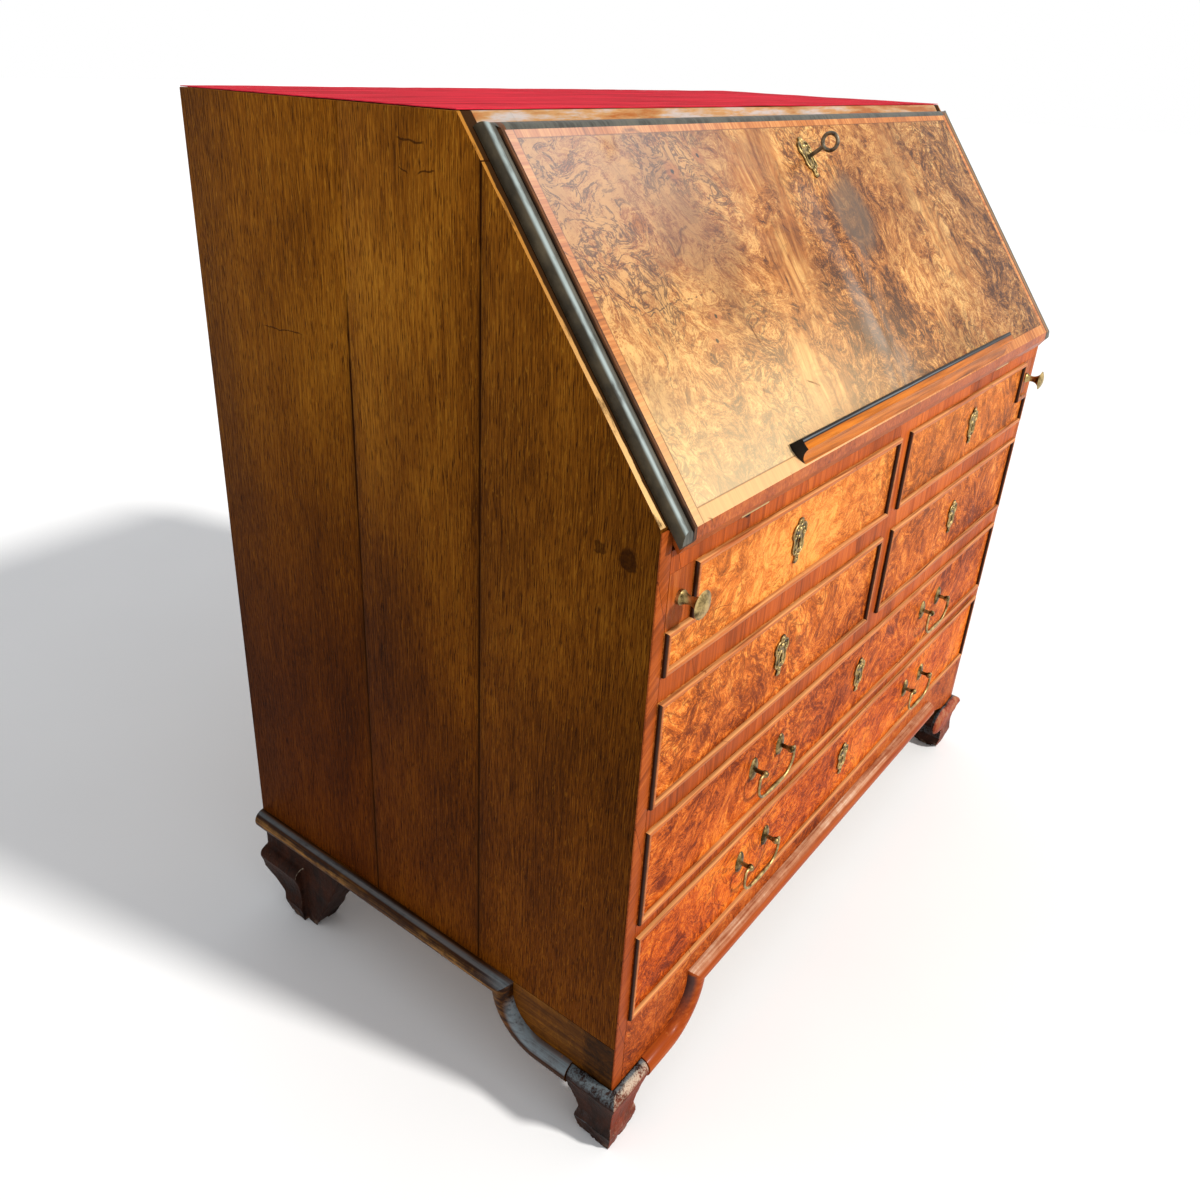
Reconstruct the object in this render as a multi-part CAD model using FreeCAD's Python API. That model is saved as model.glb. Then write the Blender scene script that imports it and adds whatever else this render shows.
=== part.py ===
"""Slant-front bureau: carcase, hinged fall on two lopers, six drawers, gallery and bracket feet.

Millimetres, +Z up, front towards -Y. The pieces are modelled with the case's front plane at y = 0 and
its middle at x = 0, and are moved at the end so that the origin is the middle of the whole box's foot.
"""
import FreeCAD
import Part
import math
import os

os.makedirs("parts", exist_ok=True)

Vector = FreeCAD.Vector
half_share = 0.5
overrun = 5.0

# Case
case_width = 1038.0
case_depth = 598.0
case_height = 1050.0
side_thickness = 17.0
top_thickness = 20.0
cloth_thickness = 1.0
cloth_margin = 0.8
slope_top_depth = 223.0
slope_foot_height = 755.0
panel_foot_height = 154.0
facing_thickness = 2.0
back_thickness = 8.0
back_board_count = 5
bottom_thickness = 18.0
front_board_joint = 197.0
rear_board_joint = 366.0
board_joint_gap = 0.3

# Rows of drawers, from the writing bed down
bed_height = 734.0
fall_rail_height = 21.5
row_1_height = 101.0
row_2_height = 119.0
row_3_height = 119.5
row_4_height = 119.5
rail_1_height = 26.0
rail_2_height = 26.0
rail_3_height = 16.0
rail_depth = 70.0
fall_rail_depth = 60.0
muntin_width = 28.0
runner_thickness = 15.0
runner_width = 42.0
centre_runner_width = 88.0
guide_height = 20.0

# Drawers
front_thickness = 20.0
front_gap = 0.7
bead_width = 6.0
bead_proud = 5.0
bead_seat = 7.0
drawer_length = 545.0
drawer_side_thickness = 9.0
drawer_bottom_thickness = 7.0
drawer_bottom_rise = 5.0
drawer_side_gap = 1.2
drawer_top_drop = 6.0
dovetail_count = 3
dovetail_lap_share = 0.8
dovetail_root_share = 0.25
dovetail_tip_share = 0.35
runner_gap = 0.3
lock_width = 62.0
lock_height = 38.0
lock_thickness = 11.0
lock_drop = 3.0
lock_plate = 2.0

# Lopers and their knobs
loper_width = 38.0
loper_height = 54.5
loper_length = 470.0
loper_gap = 0.4
loper_guide_thickness = 10.0
loper_ledger_thickness = 14.0
guide_setback = 1.5
knob_reach = 27.0
knob_radius = 13.5
knob_neck_radius = 4.2
knob_base_radius = 7.2
knob_rim = 4.0
knob_base_thickness = 3.0

# Fall, its lip, ledge and hinges
lip_thickness = 10.5
fall_foot_reach = 13.3
fall_band_height = 11.0
fall_edge_gap = 0.8
lip_gap = 0.3
lip_side_margin = 10.0
lip_top_drop = 13.8
fall_side_gap = 1.2
fall_core_gap = 1.4
edge_moulding_width = 21.0
head_moulding_width = 10.5
edge_round_share = 0.76
edge_roll_share = 0.62
edge_quirk_share = 0.3
edge_fillet_start_share = 0.3
roll_swell_share = 0.7
roll_dip_share = 0.29
hinge_reach = 3.4
hinge_left_place = -374.0
hinge_right_place = 322.0
hinge_length = 51.0
hinge_knuckles = 3
hinge_barrel_radius = 3.0
hinge_pin_radius = 1.25
hinge_pin_gap = 0.05
hinge_leaf_width = 24.0
hinge_leaf_thickness = 1.8
hinge_clearance = 0.4
ledge_length = 612.0
ledge_width = 24.0
ledge_proud = 15.0
ledge_nose = 6.0
ledge_foot_rise = 1.5
ledge_end_cut = 25.0
ledge_bend_share = 0.22

# Lock, key and escutcheons
escutcheon_width = 30.0
escutcheon_height = 50.0
escutcheon_thickness = 1.6
keyhole_radius = 2.9
keyhole_slot_width = 2.6
keyhole_slot_length = 9.0
fall_escutcheon_drop = 57.0
fall_lock_width = 70.0
fall_lock_height = 58.0
fall_lock_depth = 8.0
fall_lock_setback = 1.5
bolt_width = 30.0
bolt_thickness = 4.0
bolt_length = 20.0
bolt_travel = 10.0
bolt_gap = 0.3
bolt_inset = 1.0
key_shank_radius = 2.4
key_shank_reach = 22.0
key_bow_radius = 9.0
key_bow_wire = 2.2
key_bit_width = 5.0
key_bit_length = 4.5
key_bit_thickness = 1.8
key_chamber_gap = 0.6

# Bail handles
handle_reach = 251.0
handle_rise = 8.0
post_spacing = 62.0
post_reach = 15.0
post_radius = 2.6
post_ball_radius = 4.4
rosette_width = 17.0
rosette_height = 30.0
rosette_dome = 4.0
bail_wire_radius = 1.8
bail_pin_gap = 0.06
bail_overhang = 6.0
bail_drop = 34.0
bail_neck_radius = 4.0
bail_corner_radius = 20.0
bail_grip_radius = 2.7

# Pigeonhole gallery and its small drawers
gallery_setback = 240.0
gallery_board = 8.0
small_drawer_height = 70.0
small_drawer_count = 4
pigeonhole_count = 6
small_front_thickness = 11.0
small_side_thickness = 6.0
small_bottom_thickness = 4.0
small_knob_radius = 6.0
small_knob_reach = 13.0
small_knob_neck_radius = 2.8
small_knob_base_radius = 3.6
small_knob_base_thickness = 1.2
small_knob_rim = 3.0
small_gap = 0.6

# Base mouldings, wings and feet
moulding_radius = 14.0
knee_level = 80.0
knee_length = 55.0
wing_run = 97.0
base_board_thickness = 18.0
lost_wing_run = 148.0
foot_ankle_height = 40.0
foot_ankle_inset = 7.0
ankle_hollow_share = 0.22
foot_pad_width = 44.0
foot_pad_reach = 9.0
foot_pad_height = 24.0
foot_toe_reach = 5.0
foot_toe_width = 38.0
foot_ankle_width = 40.0
rear_knee_length = 78.0
rear_pad_back = 45.0
rear_pad_front = 98.0
rear_bracket_run = 160.0
rear_ankle_height = 34.0
rear_heel_height = 58.0

# Sizes that follow from the ones above
half_width = case_width * half_share
inner_half = half_width - side_thickness
board_top = case_height - cloth_thickness
top_foot = board_top - top_thickness
slope_rise = board_top - slope_foot_height
slope_angle = math.atan2(slope_rise, slope_top_depth)
slope_cos = math.cos(slope_angle)
slope_sin = math.sin(slope_angle)
moulding_level = panel_foot_height - moulding_radius
moulding_foot = moulding_level - moulding_radius
knee_foot = knee_level - moulding_radius
wing_radius = moulding_level - knee_level
back_face = case_depth - back_thickness
fall_rail_foot = bed_height - fall_rail_height
row_names = ("first", "second", "third", "fourth")
paired_rows = ("first", "second")
row_heights = dict(zip(row_names, (row_1_height, row_2_height, row_3_height, row_4_height)))
rail_heights = dict(zip(row_names, (rail_1_height, rail_2_height, rail_3_height)))
row_tops = {}
row_feet = {}
level = fall_rail_foot
for row in row_names:
    row_tops[row] = level
    row_feet[row] = level - row_heights[row]
    level = row_feet[row] - rail_heights.get(row, 0)
base_top = row_feet[row_names[-1]]
loper_foot = fall_rail_foot - loper_gap - loper_height
loper_inner = inner_half - loper_width - loper_gap - loper_gap
ledger_top = loper_foot - loper_gap
hinge_places = (hinge_left_place, hinge_right_place)

nodes = {}


def add(name, *solids):
    """Put solids into a node."""
    nodes.setdefault(name, []).extend(solids)


def box(x_range, y_range, z_range):
    """A board between three pairs of limits."""
    low = Vector(min(x_range), min(y_range), min(z_range))
    high = Vector(max(x_range), max(y_range), max(z_range))
    size = high - low
    return Part.makeBox(size.x, size.y, size.z, low)


def face_of(place, steps):
    """A flat face: a step with one point is a line to it, a step with two is an arc through the first."""
    edges = []
    start = here = place(*steps[0][0])
    for step in steps[1:]:
        end = place(*step[-1])
        if len(step) > 1:
            edges.append(Part.Arc(here, place(*step[0]), end).toShape())
        else:
            edges.append(Part.makeLine(here, end))
        here = end
    if here.distanceToPoint(start) > 0:
        edges.append(Part.makeLine(here, start))
    return Part.Face(Part.Wire(edges))


def corners(*points):
    """The steps of an outline with straight sides only."""
    return [(point,) for point in points]


def front_plane(x, z):
    return Vector(x, 0, z)


def side_plane(y, z):
    return Vector(0, y, z)


def along_x(steps, x_range):
    """An outline in the YZ plane, drawn out along X."""
    face = face_of(side_plane, steps)
    face.translate(Vector(min(x_range), 0, 0))
    return face.extrude(Vector(max(x_range) - min(x_range), 0, 0))


def along_y(steps, y_range):
    """An outline in the XZ plane, drawn out along Y."""
    face = face_of(front_plane, steps)
    face.translate(Vector(0, min(y_range), 0))
    return face.extrude(Vector(0, max(y_range) - min(y_range), 0))


def mirrored(solid):
    """The same piece on the other side of the case."""
    return solid.mirror(Vector(0, 0, 0), Vector(1, 0, 0))


def slope_depth(z):
    """How far behind the front plane the slope lies at a height."""
    return (z - slope_foot_height) * slope_top_depth / slope_rise


def make_side():
    """The left side: three upright boards glued edge to edge, the front two cut to the slope."""
    joints = (facing_thickness, front_board_joint, rear_board_joint, case_depth)
    outline = corners(
        (0, panel_foot_height),
        (case_depth, panel_foot_height),
        (case_depth, board_top),
        (slope_top_depth, board_top),
        (0, slope_foot_height),
    )
    whole = along_x(outline, (-half_width, -inner_half))
    rebate = box(
        (-inner_half - back_thickness, -inner_half + overrun),
        (back_face, case_depth + overrun),
        (0, top_foot),
    )
    boards = []
    for front, rear in zip(joints, joints[1:]):
        gap = board_joint_gap if rear < case_depth else 0
        strip = box((-half_width, -inner_half), (front, rear - gap), (0, case_height))
        boards.append(whole.common(strip).cut(rebate))
    return boards


def make_facing():
    """The veneered strip on a side's front edge, from the foot to the slope."""
    return box((-half_width, -inner_half), (0, facing_thickness), (knee_foot, slope_foot_height))


def make_top():
    """The top board between the sides, and the veneered band on its sloped front edge."""
    outline = corners(
        (slope_depth(top_foot), top_foot),
        (case_depth, top_foot),
        (case_depth, board_top),
        (slope_top_depth, board_top),
    )
    whole = along_x(outline, (-inner_half, inner_half))
    band_depth = facing_thickness / slope_sin
    inner = corners(
        (slope_depth(top_foot) + band_depth, top_foot),
        (case_depth, top_foot),
        (case_depth, board_top),
        (slope_top_depth + band_depth, board_top),
    )
    board = along_x(inner, (-inner_half, inner_half))
    strike = bolt_box(bolt_gap, bolt_travel + bolt_gap)
    return board.cut(strike), whole.cut(board).cut(strike)


def make_cloth():
    """The cloth laid on the top from side to side."""
    return box(
        (-half_width + cloth_margin, half_width - cloth_margin),
        (slope_top_depth + cloth_margin, case_depth - cloth_margin),
        (board_top, case_height),
    )


def make_back():
    """Upright back boards in the rebates of the sides."""
    reach = inner_half + back_thickness
    width = (reach + reach) / back_board_count
    boards = []
    for number in range(back_board_count):
        left = -reach + width * number
        boards.append(box((left, left + width), (back_face, case_depth), (panel_foot_height, top_foot)))
    return boards


def make_rails():
    """Front rails under each row but the lowest, and the upright muntins of the two divided rows."""
    pieces = []
    for row, height in rail_heights.items():
        top = row_feet[row]
        pieces.append(box((-inner_half, inner_half), (0, rail_depth), (top - height, top)))
    reach = muntin_width * half_share
    for row in paired_rows:
        pieces.append(box((-reach, reach), (0, rail_depth), (row_feet[row], row_tops[row])))
    return pieces


def make_runners():
    """Side and middle runners behind the rails, with a guide strip between the paired drawers."""
    pieces = []
    middle = centre_runner_width * half_share
    guide = muntin_width * half_share
    for row in rail_heights:
        top = row_feet[row]
        span = (top - runner_thickness, top)
        left = box((-inner_half, -inner_half + runner_width), (rail_depth, back_face), span)
        pieces += [left, mirrored(left)]
        if row in paired_rows:
            pieces.append(box((-middle, middle), (rail_depth, back_face), span))
            pieces.append(box((-guide, guide), (rail_depth, back_face), (top, top + guide_height)))
    return pieces


def make_loper_guides():
    """A ledger under each loper and an upright board between the loper and the drawer."""
    start = front_thickness + guide_setback
    inner = loper_inner - loper_guide_thickness
    ledger = box(
        (-inner_half, -inner), (start, back_face), (ledger_top - loper_ledger_thickness, ledger_top)
    )
    upright = box((-loper_inner, -inner), (start, back_face), (ledger_top, fall_rail_foot))
    return [ledger, upright, mirrored(ledger), mirrored(upright)]


def make_loper():
    """The left loper, a plain bar with its front end in the front plane."""
    outer = inner_half - loper_gap
    return box((-outer, -outer + loper_width), (0, loper_length), (loper_foot, loper_foot + loper_height))


def make_knob(x, z, front, reach, radius, neck, base_radius, base, rim):
    """A turned mushroom knob: base ring, waisted neck and domed head."""
    tip = -reach
    shoulder = tip + rim
    neck_start = -base
    middle = (neck_start + shoulder) * half_share
    dome = (radius * radius + rim * rim) / (rim + rim)
    half_angle = math.asin(radius / dome) * half_share
    crown = (dome * math.sin(half_angle), tip + dome - dome * math.cos(half_angle))
    steps = [
        ((0, 0),),
        ((base_radius, 0),),
        ((base_radius, -base),),
        ((neck, middle), (radius, shoulder)),
        (crown, (0, tip)),
    ]

    def place(r, y):
        return Vector(x + r, front + y, z)

    return face_of(place, steps).revolve(Vector(x, front, z), Vector(0, 1, 0), 360)


def make_loper_knob():
    """The brass knob on the left loper."""
    x = -(inner_half - loper_gap - loper_width * half_share)
    z = loper_foot + loper_height * half_share
    return make_knob(
        x, z, 0, knob_reach, knob_radius, knob_neck_radius, knob_base_radius, knob_base_thickness, knob_rim
    )


def inset(points, distance):
    """The corners of an outline moved inwards; the outline runs anticlockwise."""
    moved = []
    count = len(points)
    for index, point in enumerate(points):
        before = Vector(*points[index - 1], 0)
        here = Vector(*point, 0)
        after = Vector(*points[(index + 1) % count], 0)
        first = (here - before).normalize()
        second = (after - here).normalize()
        shift = Vector(-first.y - second.y, first.x + second.x, 0) * distance
        moved.append((here.x + shift.x, here.y + shift.y))
    return moved


def make_bead(points):
    """Round-topped bead strips with mitred corners, let into the edge of a drawer front."""
    strips = []
    inner = inset(points, bead_width)
    radius = bead_width * half_share
    crown = -bead_proud + radius
    count = len(points)
    for index in range(count):
        follow = (index + 1) % count
        start = Vector(points[index][0], 0, points[index][1])
        end = Vector(points[follow][0], 0, points[follow][1])
        run = (end - start).normalize()
        inward = Vector(-run.z, 0, run.x)
        origin = start - run * bead_width

        def place(across, y):
            return origin + inward * across + Vector(0, y, 0)

        section = [
            ((0, bead_seat),),
            ((bead_width, bead_seat),),
            ((bead_width, crown),),
            ((radius, -bead_proud), (0, crown)),
        ]
        length = start.distanceToPoint(end) + bead_width + bead_width
        bar = face_of(place, section).extrude(run * length)
        quad = corners(points[index], points[follow], inner[follow], inner[index])
        strips.append(bar.common(along_y(quad, (-bead_proud - overrun, bead_seat))).Solids[0])
    return strips


def keyhole(x, z, y_range):
    """The cutter for a keyhole: a round eye over a straight slot."""
    depth = max(y_range) - min(y_range)
    eye = Part.makeCylinder(keyhole_radius, depth, Vector(x, min(y_range), z), Vector(0, 1, 0))
    reach = keyhole_slot_width * half_share
    slot = box((x - reach, x + reach), y_range, (z - keyhole_slot_length, z))
    return eye.fuse(slot)


def make_front(points, x, z):
    """A drawer front, stepped back round its edge for the bead, with its keyhole."""
    back = along_y(corners(*points), (bead_seat, front_thickness))
    face = along_y(corners(*inset(points, bead_width)), (0, bead_seat))
    return back.fuse(face).removeSplitter().cut(keyhole(x, z, (-overrun, front_thickness + overrun)))


def jointed(front):
    """A notched front in two boards: the main one and the tongue that reaches under the loper."""
    notch = loper_inner - front_gap
    boards = []
    for reach in ((-half_width, -notch), (-notch, notch), (notch, half_width)):
        boards += front.common(box(reach, (0, front_thickness), (0, case_height))).Solids
    return boards


def make_tails(x_range, z_range):
    """The lapped dovetails on the front end of a drawer side, wider at their tips."""
    foot, top = z_range
    pitch = (top - drawer_top_drop - foot) / dovetail_count
    tip = front_thickness - (front_thickness - bead_seat) * dovetail_lap_share
    root_reach = pitch * dovetail_root_share
    tip_reach = pitch * dovetail_tip_share
    tails = []
    for number in range(dovetail_count):
        middle = foot + pitch * (number + half_share)
        outline = corners(
            (front_thickness, middle - root_reach),
            (front_thickness, middle + root_reach),
            (tip, middle + tip_reach),
            (tip, middle - tip_reach),
        )
        tails.append(along_x(outline, x_range))
    return tails


def make_sockets(x_range, z_range):
    """The cutters for the dovetails' seats in a drawer front, open towards its ends."""
    left, right = x_range
    near = (left - drawer_side_gap, left + drawer_side_thickness)
    far = (right - drawer_side_thickness, right + drawer_side_gap)
    return make_tails(near, z_range) + make_tails(far, z_range)


def make_drawer_box(x_range, z_range):
    """Two dovetailed sides, a bottom between them and a back standing on the bottom."""
    left, right = x_range
    foot, top = z_range
    sides_top = top - drawer_top_drop
    ends = (front_thickness, drawer_length)
    inner = (left + drawer_side_thickness, right - drawer_side_thickness)
    sides = []
    for reach in ((left, inner[0]), (inner[1], right)):
        side = box(reach, ends, (foot, sides_top))
        sides.append(side.multiFuse(make_tails(reach, z_range)).removeSplitter())
    floor = foot + drawer_bottom_rise
    floor_top = floor + drawer_bottom_thickness
    return [
        *sides,
        box(inner, ends, (floor, floor_top)),
        box(inner, (drawer_length - drawer_side_thickness, drawer_length), (floor_top, sides_top)),
    ]


escutcheon_shares = (
    (0.0, 0.5),
    (0.16, 0.47),
    (0.17, 0.38),
    (0.3, 0.37),
    (0.36, 0.28),
    (0.5, 0.18),
    (0.4, 0.08),
    (0.3, 0.0),
    (0.34, -0.1),
    (0.36, -0.2),
    (0.22, -0.28),
    (0.13, -0.36),
    (0.17, -0.42),
    (0.12, -0.49),
    (0.0, -0.5),
)


def escutcheon_steps(width, height):
    """The outline of a scrolled plate: arcs down one side and their mirror images up the other."""
    right = [(x * width, z * height) for x, z in escutcheon_shares]
    left = [(-x, z) for x, z in reversed(right)]
    steps = [(right[0],)]
    for side in (right, left):
        for index in range(1, len(side) - 1, 2):
            steps.append((side[index], side[index + 1]))
    return steps


def make_escutcheon(x, z):
    """The brass plate over a drawer's keyhole."""
    plate = along_y(escutcheon_steps(escutcheon_width, escutcheon_height), (-escutcheon_thickness, 0))
    plate.translate(Vector(x, 0, z))
    return plate.cut(keyhole(x, z, (-overrun, overrun)))


def make_drawer_lock(x, z, top):
    """The lock case on the back of a drawer front."""
    reach = lock_width * half_share
    rear = front_thickness + lock_thickness
    case = box((x - reach, x + reach), (front_thickness, rear), (top - lock_height, top))
    return case.cut(keyhole(x, z, (0, rear - lock_plate)))


def make_posts(x, z):
    """Two oval rosettes, each with a stem and a bored ball that carries the bail."""
    pieces = []
    for side in (-1, 1):
        centre = x + side * post_spacing * half_share
        tall = rosette_height * half_share
        ball = Part.makeSphere(tall)
        squeeze = FreeCAD.Matrix()
        squeeze.scale(rosette_width / rosette_height, rosette_dome / tall, 1.0)
        plate = ball.transformGeometry(squeeze).common(box((-tall, tall), (-tall, 0), (-tall, tall)))
        plate.translate(Vector(centre, 0, z))
        stem = Part.makeCylinder(post_radius, post_reach, Vector(centre, 0, z), Vector(0, -1, 0))
        ball = Part.makeSphere(post_ball_radius, Vector(centre, -post_reach, z))
        hole = Part.makeCylinder(
            bail_wire_radius + bail_pin_gap,
            post_spacing,
            Vector(centre - post_spacing * half_share, -post_reach, z),
            Vector(1, 0, 0),
        )
        pieces.append(plate.fuse([stem, ball]).removeSplitter().cut(hole))
    return pieces


def make_bail(x, z):
    """A hanging bail: pins through the balls, rounded shoulders and a straight grip."""
    pivot = Vector(x, -post_reach, z)
    pin_end = post_spacing * half_share - post_ball_radius
    shoulder = post_spacing * half_share + bail_overhang
    outer = shoulder + bail_neck_radius
    neck = bail_neck_radius
    corner = bail_corner_radius
    diagonal = math.sqrt(half_share)
    points = []
    arcs = (
        ((shoulder, 0), (shoulder + neck * diagonal, -neck + neck * diagonal), (outer, -neck)),
        (
            (outer, corner - bail_drop),
            (outer - corner + corner * diagonal, corner - bail_drop - corner * diagonal),
            (outer - corner, -bail_drop),
        ),
    )
    right = [(pin_end, 0)]
    edges = []

    def at(point, side):
        return pivot + Vector(side * point[0], 0, point[1])

    for side in (1, -1):
        here = right[0]
        for start, middle, end in arcs:
            edges.append(Part.makeLine(at(here, side), at(start, side)))
            edges.append(Part.Arc(at(start, side), at(middle, side), at(end, side)).toShape())
            here = end
        points.append(here)
    edges.append(Part.makeLine(at(points[0], 1), at(points[1], -1)))
    path = Part.Wire(Part.__sortEdges__(edges))
    section = Part.Wire(
        [Part.makeCircle(bail_wire_radius, at(right[0], 1), Vector(1, 0, 0))]
    )
    wire = path.makePipeShell([section], True, True)
    run = outer - corner
    lens = [((-run, 0),), ((-run, bail_wire_radius),), ((0, bail_grip_radius), (run, bail_wire_radius)), ((run, 0),)]

    def grip_place(along, out):
        return pivot + Vector(along, 0, out - bail_drop)

    grip = face_of(grip_place, lens).revolve(grip_place(0, 0), Vector(1, 0, 0), 360)
    return wire.fuse(grip).removeSplitter()


def drawer_outline(row, side):
    """The corners of a drawer front, anticlockwise, less its running gap."""
    foot = row_feet[row] + front_gap
    top = row_tops[row] - front_gap
    outer = inner_half - front_gap
    if row not in paired_rows:
        return [(-outer, foot), (outer, foot), (outer, top), (-outer, top)]
    inner = muntin_width * half_share + front_gap
    points = [(inner, foot), (outer, foot), (outer, top), (inner, top)]
    if row == row_names[0]:
        step = loper_foot - front_gap
        points[2:3] = [(outer, step), (loper_inner - front_gap, step), (loper_inner - front_gap, top)]
    if side < 0:
        points = [(-x, z) for x, z in reversed(points)]
    return points


drawer_places = {
    "drawer_1_left": ("first", -1),
    "drawer_1_right": ("first", 1),
    "drawer_2_left": ("second", -1),
    "drawer_2_right": ("second", 1),
    "drawer_3": ("third", 0),
    "drawer_4": ("fourth", 0),
}


def make_drawer(name, row, side):
    """One drawer with its front and bead, box, plate, lock and handles."""
    points = drawer_outline(row, side)
    foot = row_feet[row] + runner_gap
    top = row_tops[row] - front_gap
    outer = inner_half - drawer_side_gap
    inner = muntin_width * half_share + drawer_side_gap
    if row == row_names[0]:
        outer = loper_inner - loper_guide_thickness - drawer_side_gap
    reach = (inner, outer)
    if side < 0:
        reach = (-outer, -inner)
    if side == 0:
        reach = (-outer, outer)
    pair_half = muntin_width * half_share
    x = side * (pair_half + inner_half) * half_share
    z = (row_feet[row] + row_tops[row]) * half_share
    front = make_front(points, x, z).cut(make_sockets(reach, (foot, top)))
    boards = jointed(front) if row == row_names[0] else [front]
    add(name + "_front", *boards, *make_bead(points))
    add(name + "_box", *make_drawer_box(reach, (foot, top)))
    add(name + "_brass", make_escutcheon(x, z), make_drawer_lock(x, z, top - lock_drop))
    if side == 0:
        for hand, way in (("left", -1), ("right", 1)):
            grip = way * handle_reach
            add(name + "_brass", *make_posts(grip, z + handle_rise))
            add(name + "_bail_" + hand, make_bail(grip, z + handle_rise))


axis_y = -hinge_reach
axis_z = bed_height


def fall_point(u, off):
    """A point of the closed fall: u up the slope from the hinge axis, off outwards from its inner face."""
    return Vector(0, axis_y + u * slope_cos - off * slope_sin, axis_z + u * slope_sin + off * slope_cos)


def fall_place(y, z):
    """The same two distances for a point of the case."""
    return (
        (y - axis_y) * slope_cos + (z - axis_z) * slope_sin,
        (z - axis_z) * slope_cos - (y - axis_y) * slope_sin,
    )


def along_fall(steps, x_range):
    """An outline in the fall's own section, drawn out along X."""
    face = face_of(fall_point, steps)
    face.translate(Vector(min(x_range), 0, 0))
    return face.extrude(Vector(max(x_range) - min(x_range), 0, 0))


def fall_box(x_range, u_range, off_range):
    """A straight block in the fall's own directions."""
    low, high = min(u_range), max(u_range)
    inner, outer = min(off_range), max(off_range)
    return along_fall(corners((low, inner), (high, inner), (high, outer), (low, outer)), x_range)


seat_off = fall_place(0, slope_foot_height)[1]
lip_off = seat_off + lip_gap
fall_thickness = lip_off + lip_thickness
top_arris = fall_place(slope_top_depth, board_top)[0]
core_top = fall_place(slope_depth(top_foot), top_foot)[0] - fall_core_gap
lip_top = top_arris - lip_top_drop
arris_u = (fall_thickness * slope_sin - fall_foot_reach - axis_y) / slope_cos
arris_z = fall_point(arris_u, fall_thickness).z
band_foot = fall_place(-fall_foot_reach, arris_z - fall_band_height)
lip_half = half_width - lip_side_margin
core_half = inner_half - fall_side_gap
lock_u = lip_top - fall_escutcheon_drop


def fall_section(top):
    """The fall's section, with its foot cut upright below the front arris."""
    return corners(
        (fall_edge_gap - hinge_reach, 0),
        (top, 0),
        (top, fall_thickness),
        (arris_u, fall_thickness),
        band_foot,
    )


def bolt_box(gap, travel):
    """The bolt's block at the head of the fall, widened by a gap and lengthened by its travel."""
    reach = bolt_width * half_share + gap
    inner = fall_lock_setback + bolt_inset - gap
    head = core_top - bolt_inset
    return fall_box(
        (-reach, reach),
        (head - bolt_length - gap, head + travel),
        (inner, inner + bolt_thickness + gap + gap),
    )


def make_fall():
    """The fall board in two layers: a core between the sides and a face whose lip covers their edges."""
    reach = lip_half - edge_moulding_width
    low = -fall_thickness
    core = along_fall(fall_section(core_top), (-core_half, core_half))
    core = core.common(fall_box((-core_half, core_half), (low, core_top), (0, lip_off)))
    lip_end = lip_top - head_moulding_width
    lip = along_fall(fall_section(lip_end), (-reach, reach))
    lip = lip.common(fall_box((-reach, reach), (low, lip_end), (lip_off, fall_thickness)))
    for x in hinge_places:
        span = hinge_length * half_share + hinge_clearance
        ends = (x - span, x + span)
        core = core.cut(barrel(hinge_barrel_radius + hinge_clearance, ends))
        core = core.cut(fall_box(ends, (-overrun, hinge_leaf_width), (-overrun, hinge_leaf_thickness)))
    mortise = lock_mortise()
    hole = key_cylinder(keyhole_radius, fall_thickness + overrun, 0)
    return core.cut(mortise).cut(hole), lip.cut(mortise).cut(hole)


def lock_mortise():
    """The cutter for the lock's seat in the head of the fall."""
    reach = fall_lock_width * half_share
    return fall_box(
        (-reach, reach),
        (core_top - fall_lock_height, core_top + overrun),
        (-overrun, fall_lock_setback + fall_lock_depth),
    )


def key_cylinder(radius, end, start):
    """A cylinder on the key's axis between two distances from the fall's inner face."""
    base = fall_point(lock_u, start)
    way = fall_point(lock_u, end) - base
    return Part.makeCylinder(radius, way.Length, base, way)


def edge_sections():
    """The sections of the edge mouldings: roll, quirk and fillet at the sides, a plain round at the head."""
    depth = lip_thickness
    bend = depth * edge_round_share
    diagonal = math.sqrt(half_share)
    rim = depth - bend
    bulge = (bend - bend * diagonal, rim + bend * diagonal)
    width = edge_moulding_width
    roll = bend + (width - bend) * edge_roll_share
    quirk = depth * edge_quirk_share
    swell = (bend + (roll - bend) * roll_swell_share, depth - quirk * roll_dip_share)
    rounding = (bulge, (0, rim))
    side = [
        ((0, 0),),
        ((width, 0),),
        ((width, depth),),
        ((roll + (width - roll) * edge_fillet_start_share, depth),),
        ((roll, depth - quirk),),
        (swell, (bend, depth)),
        rounding,
    ]
    deep = head_moulding_width
    return side, [((0, 0),), ((deep, 0),), ((deep, depth),), ((bend, depth),), rounding]


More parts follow.
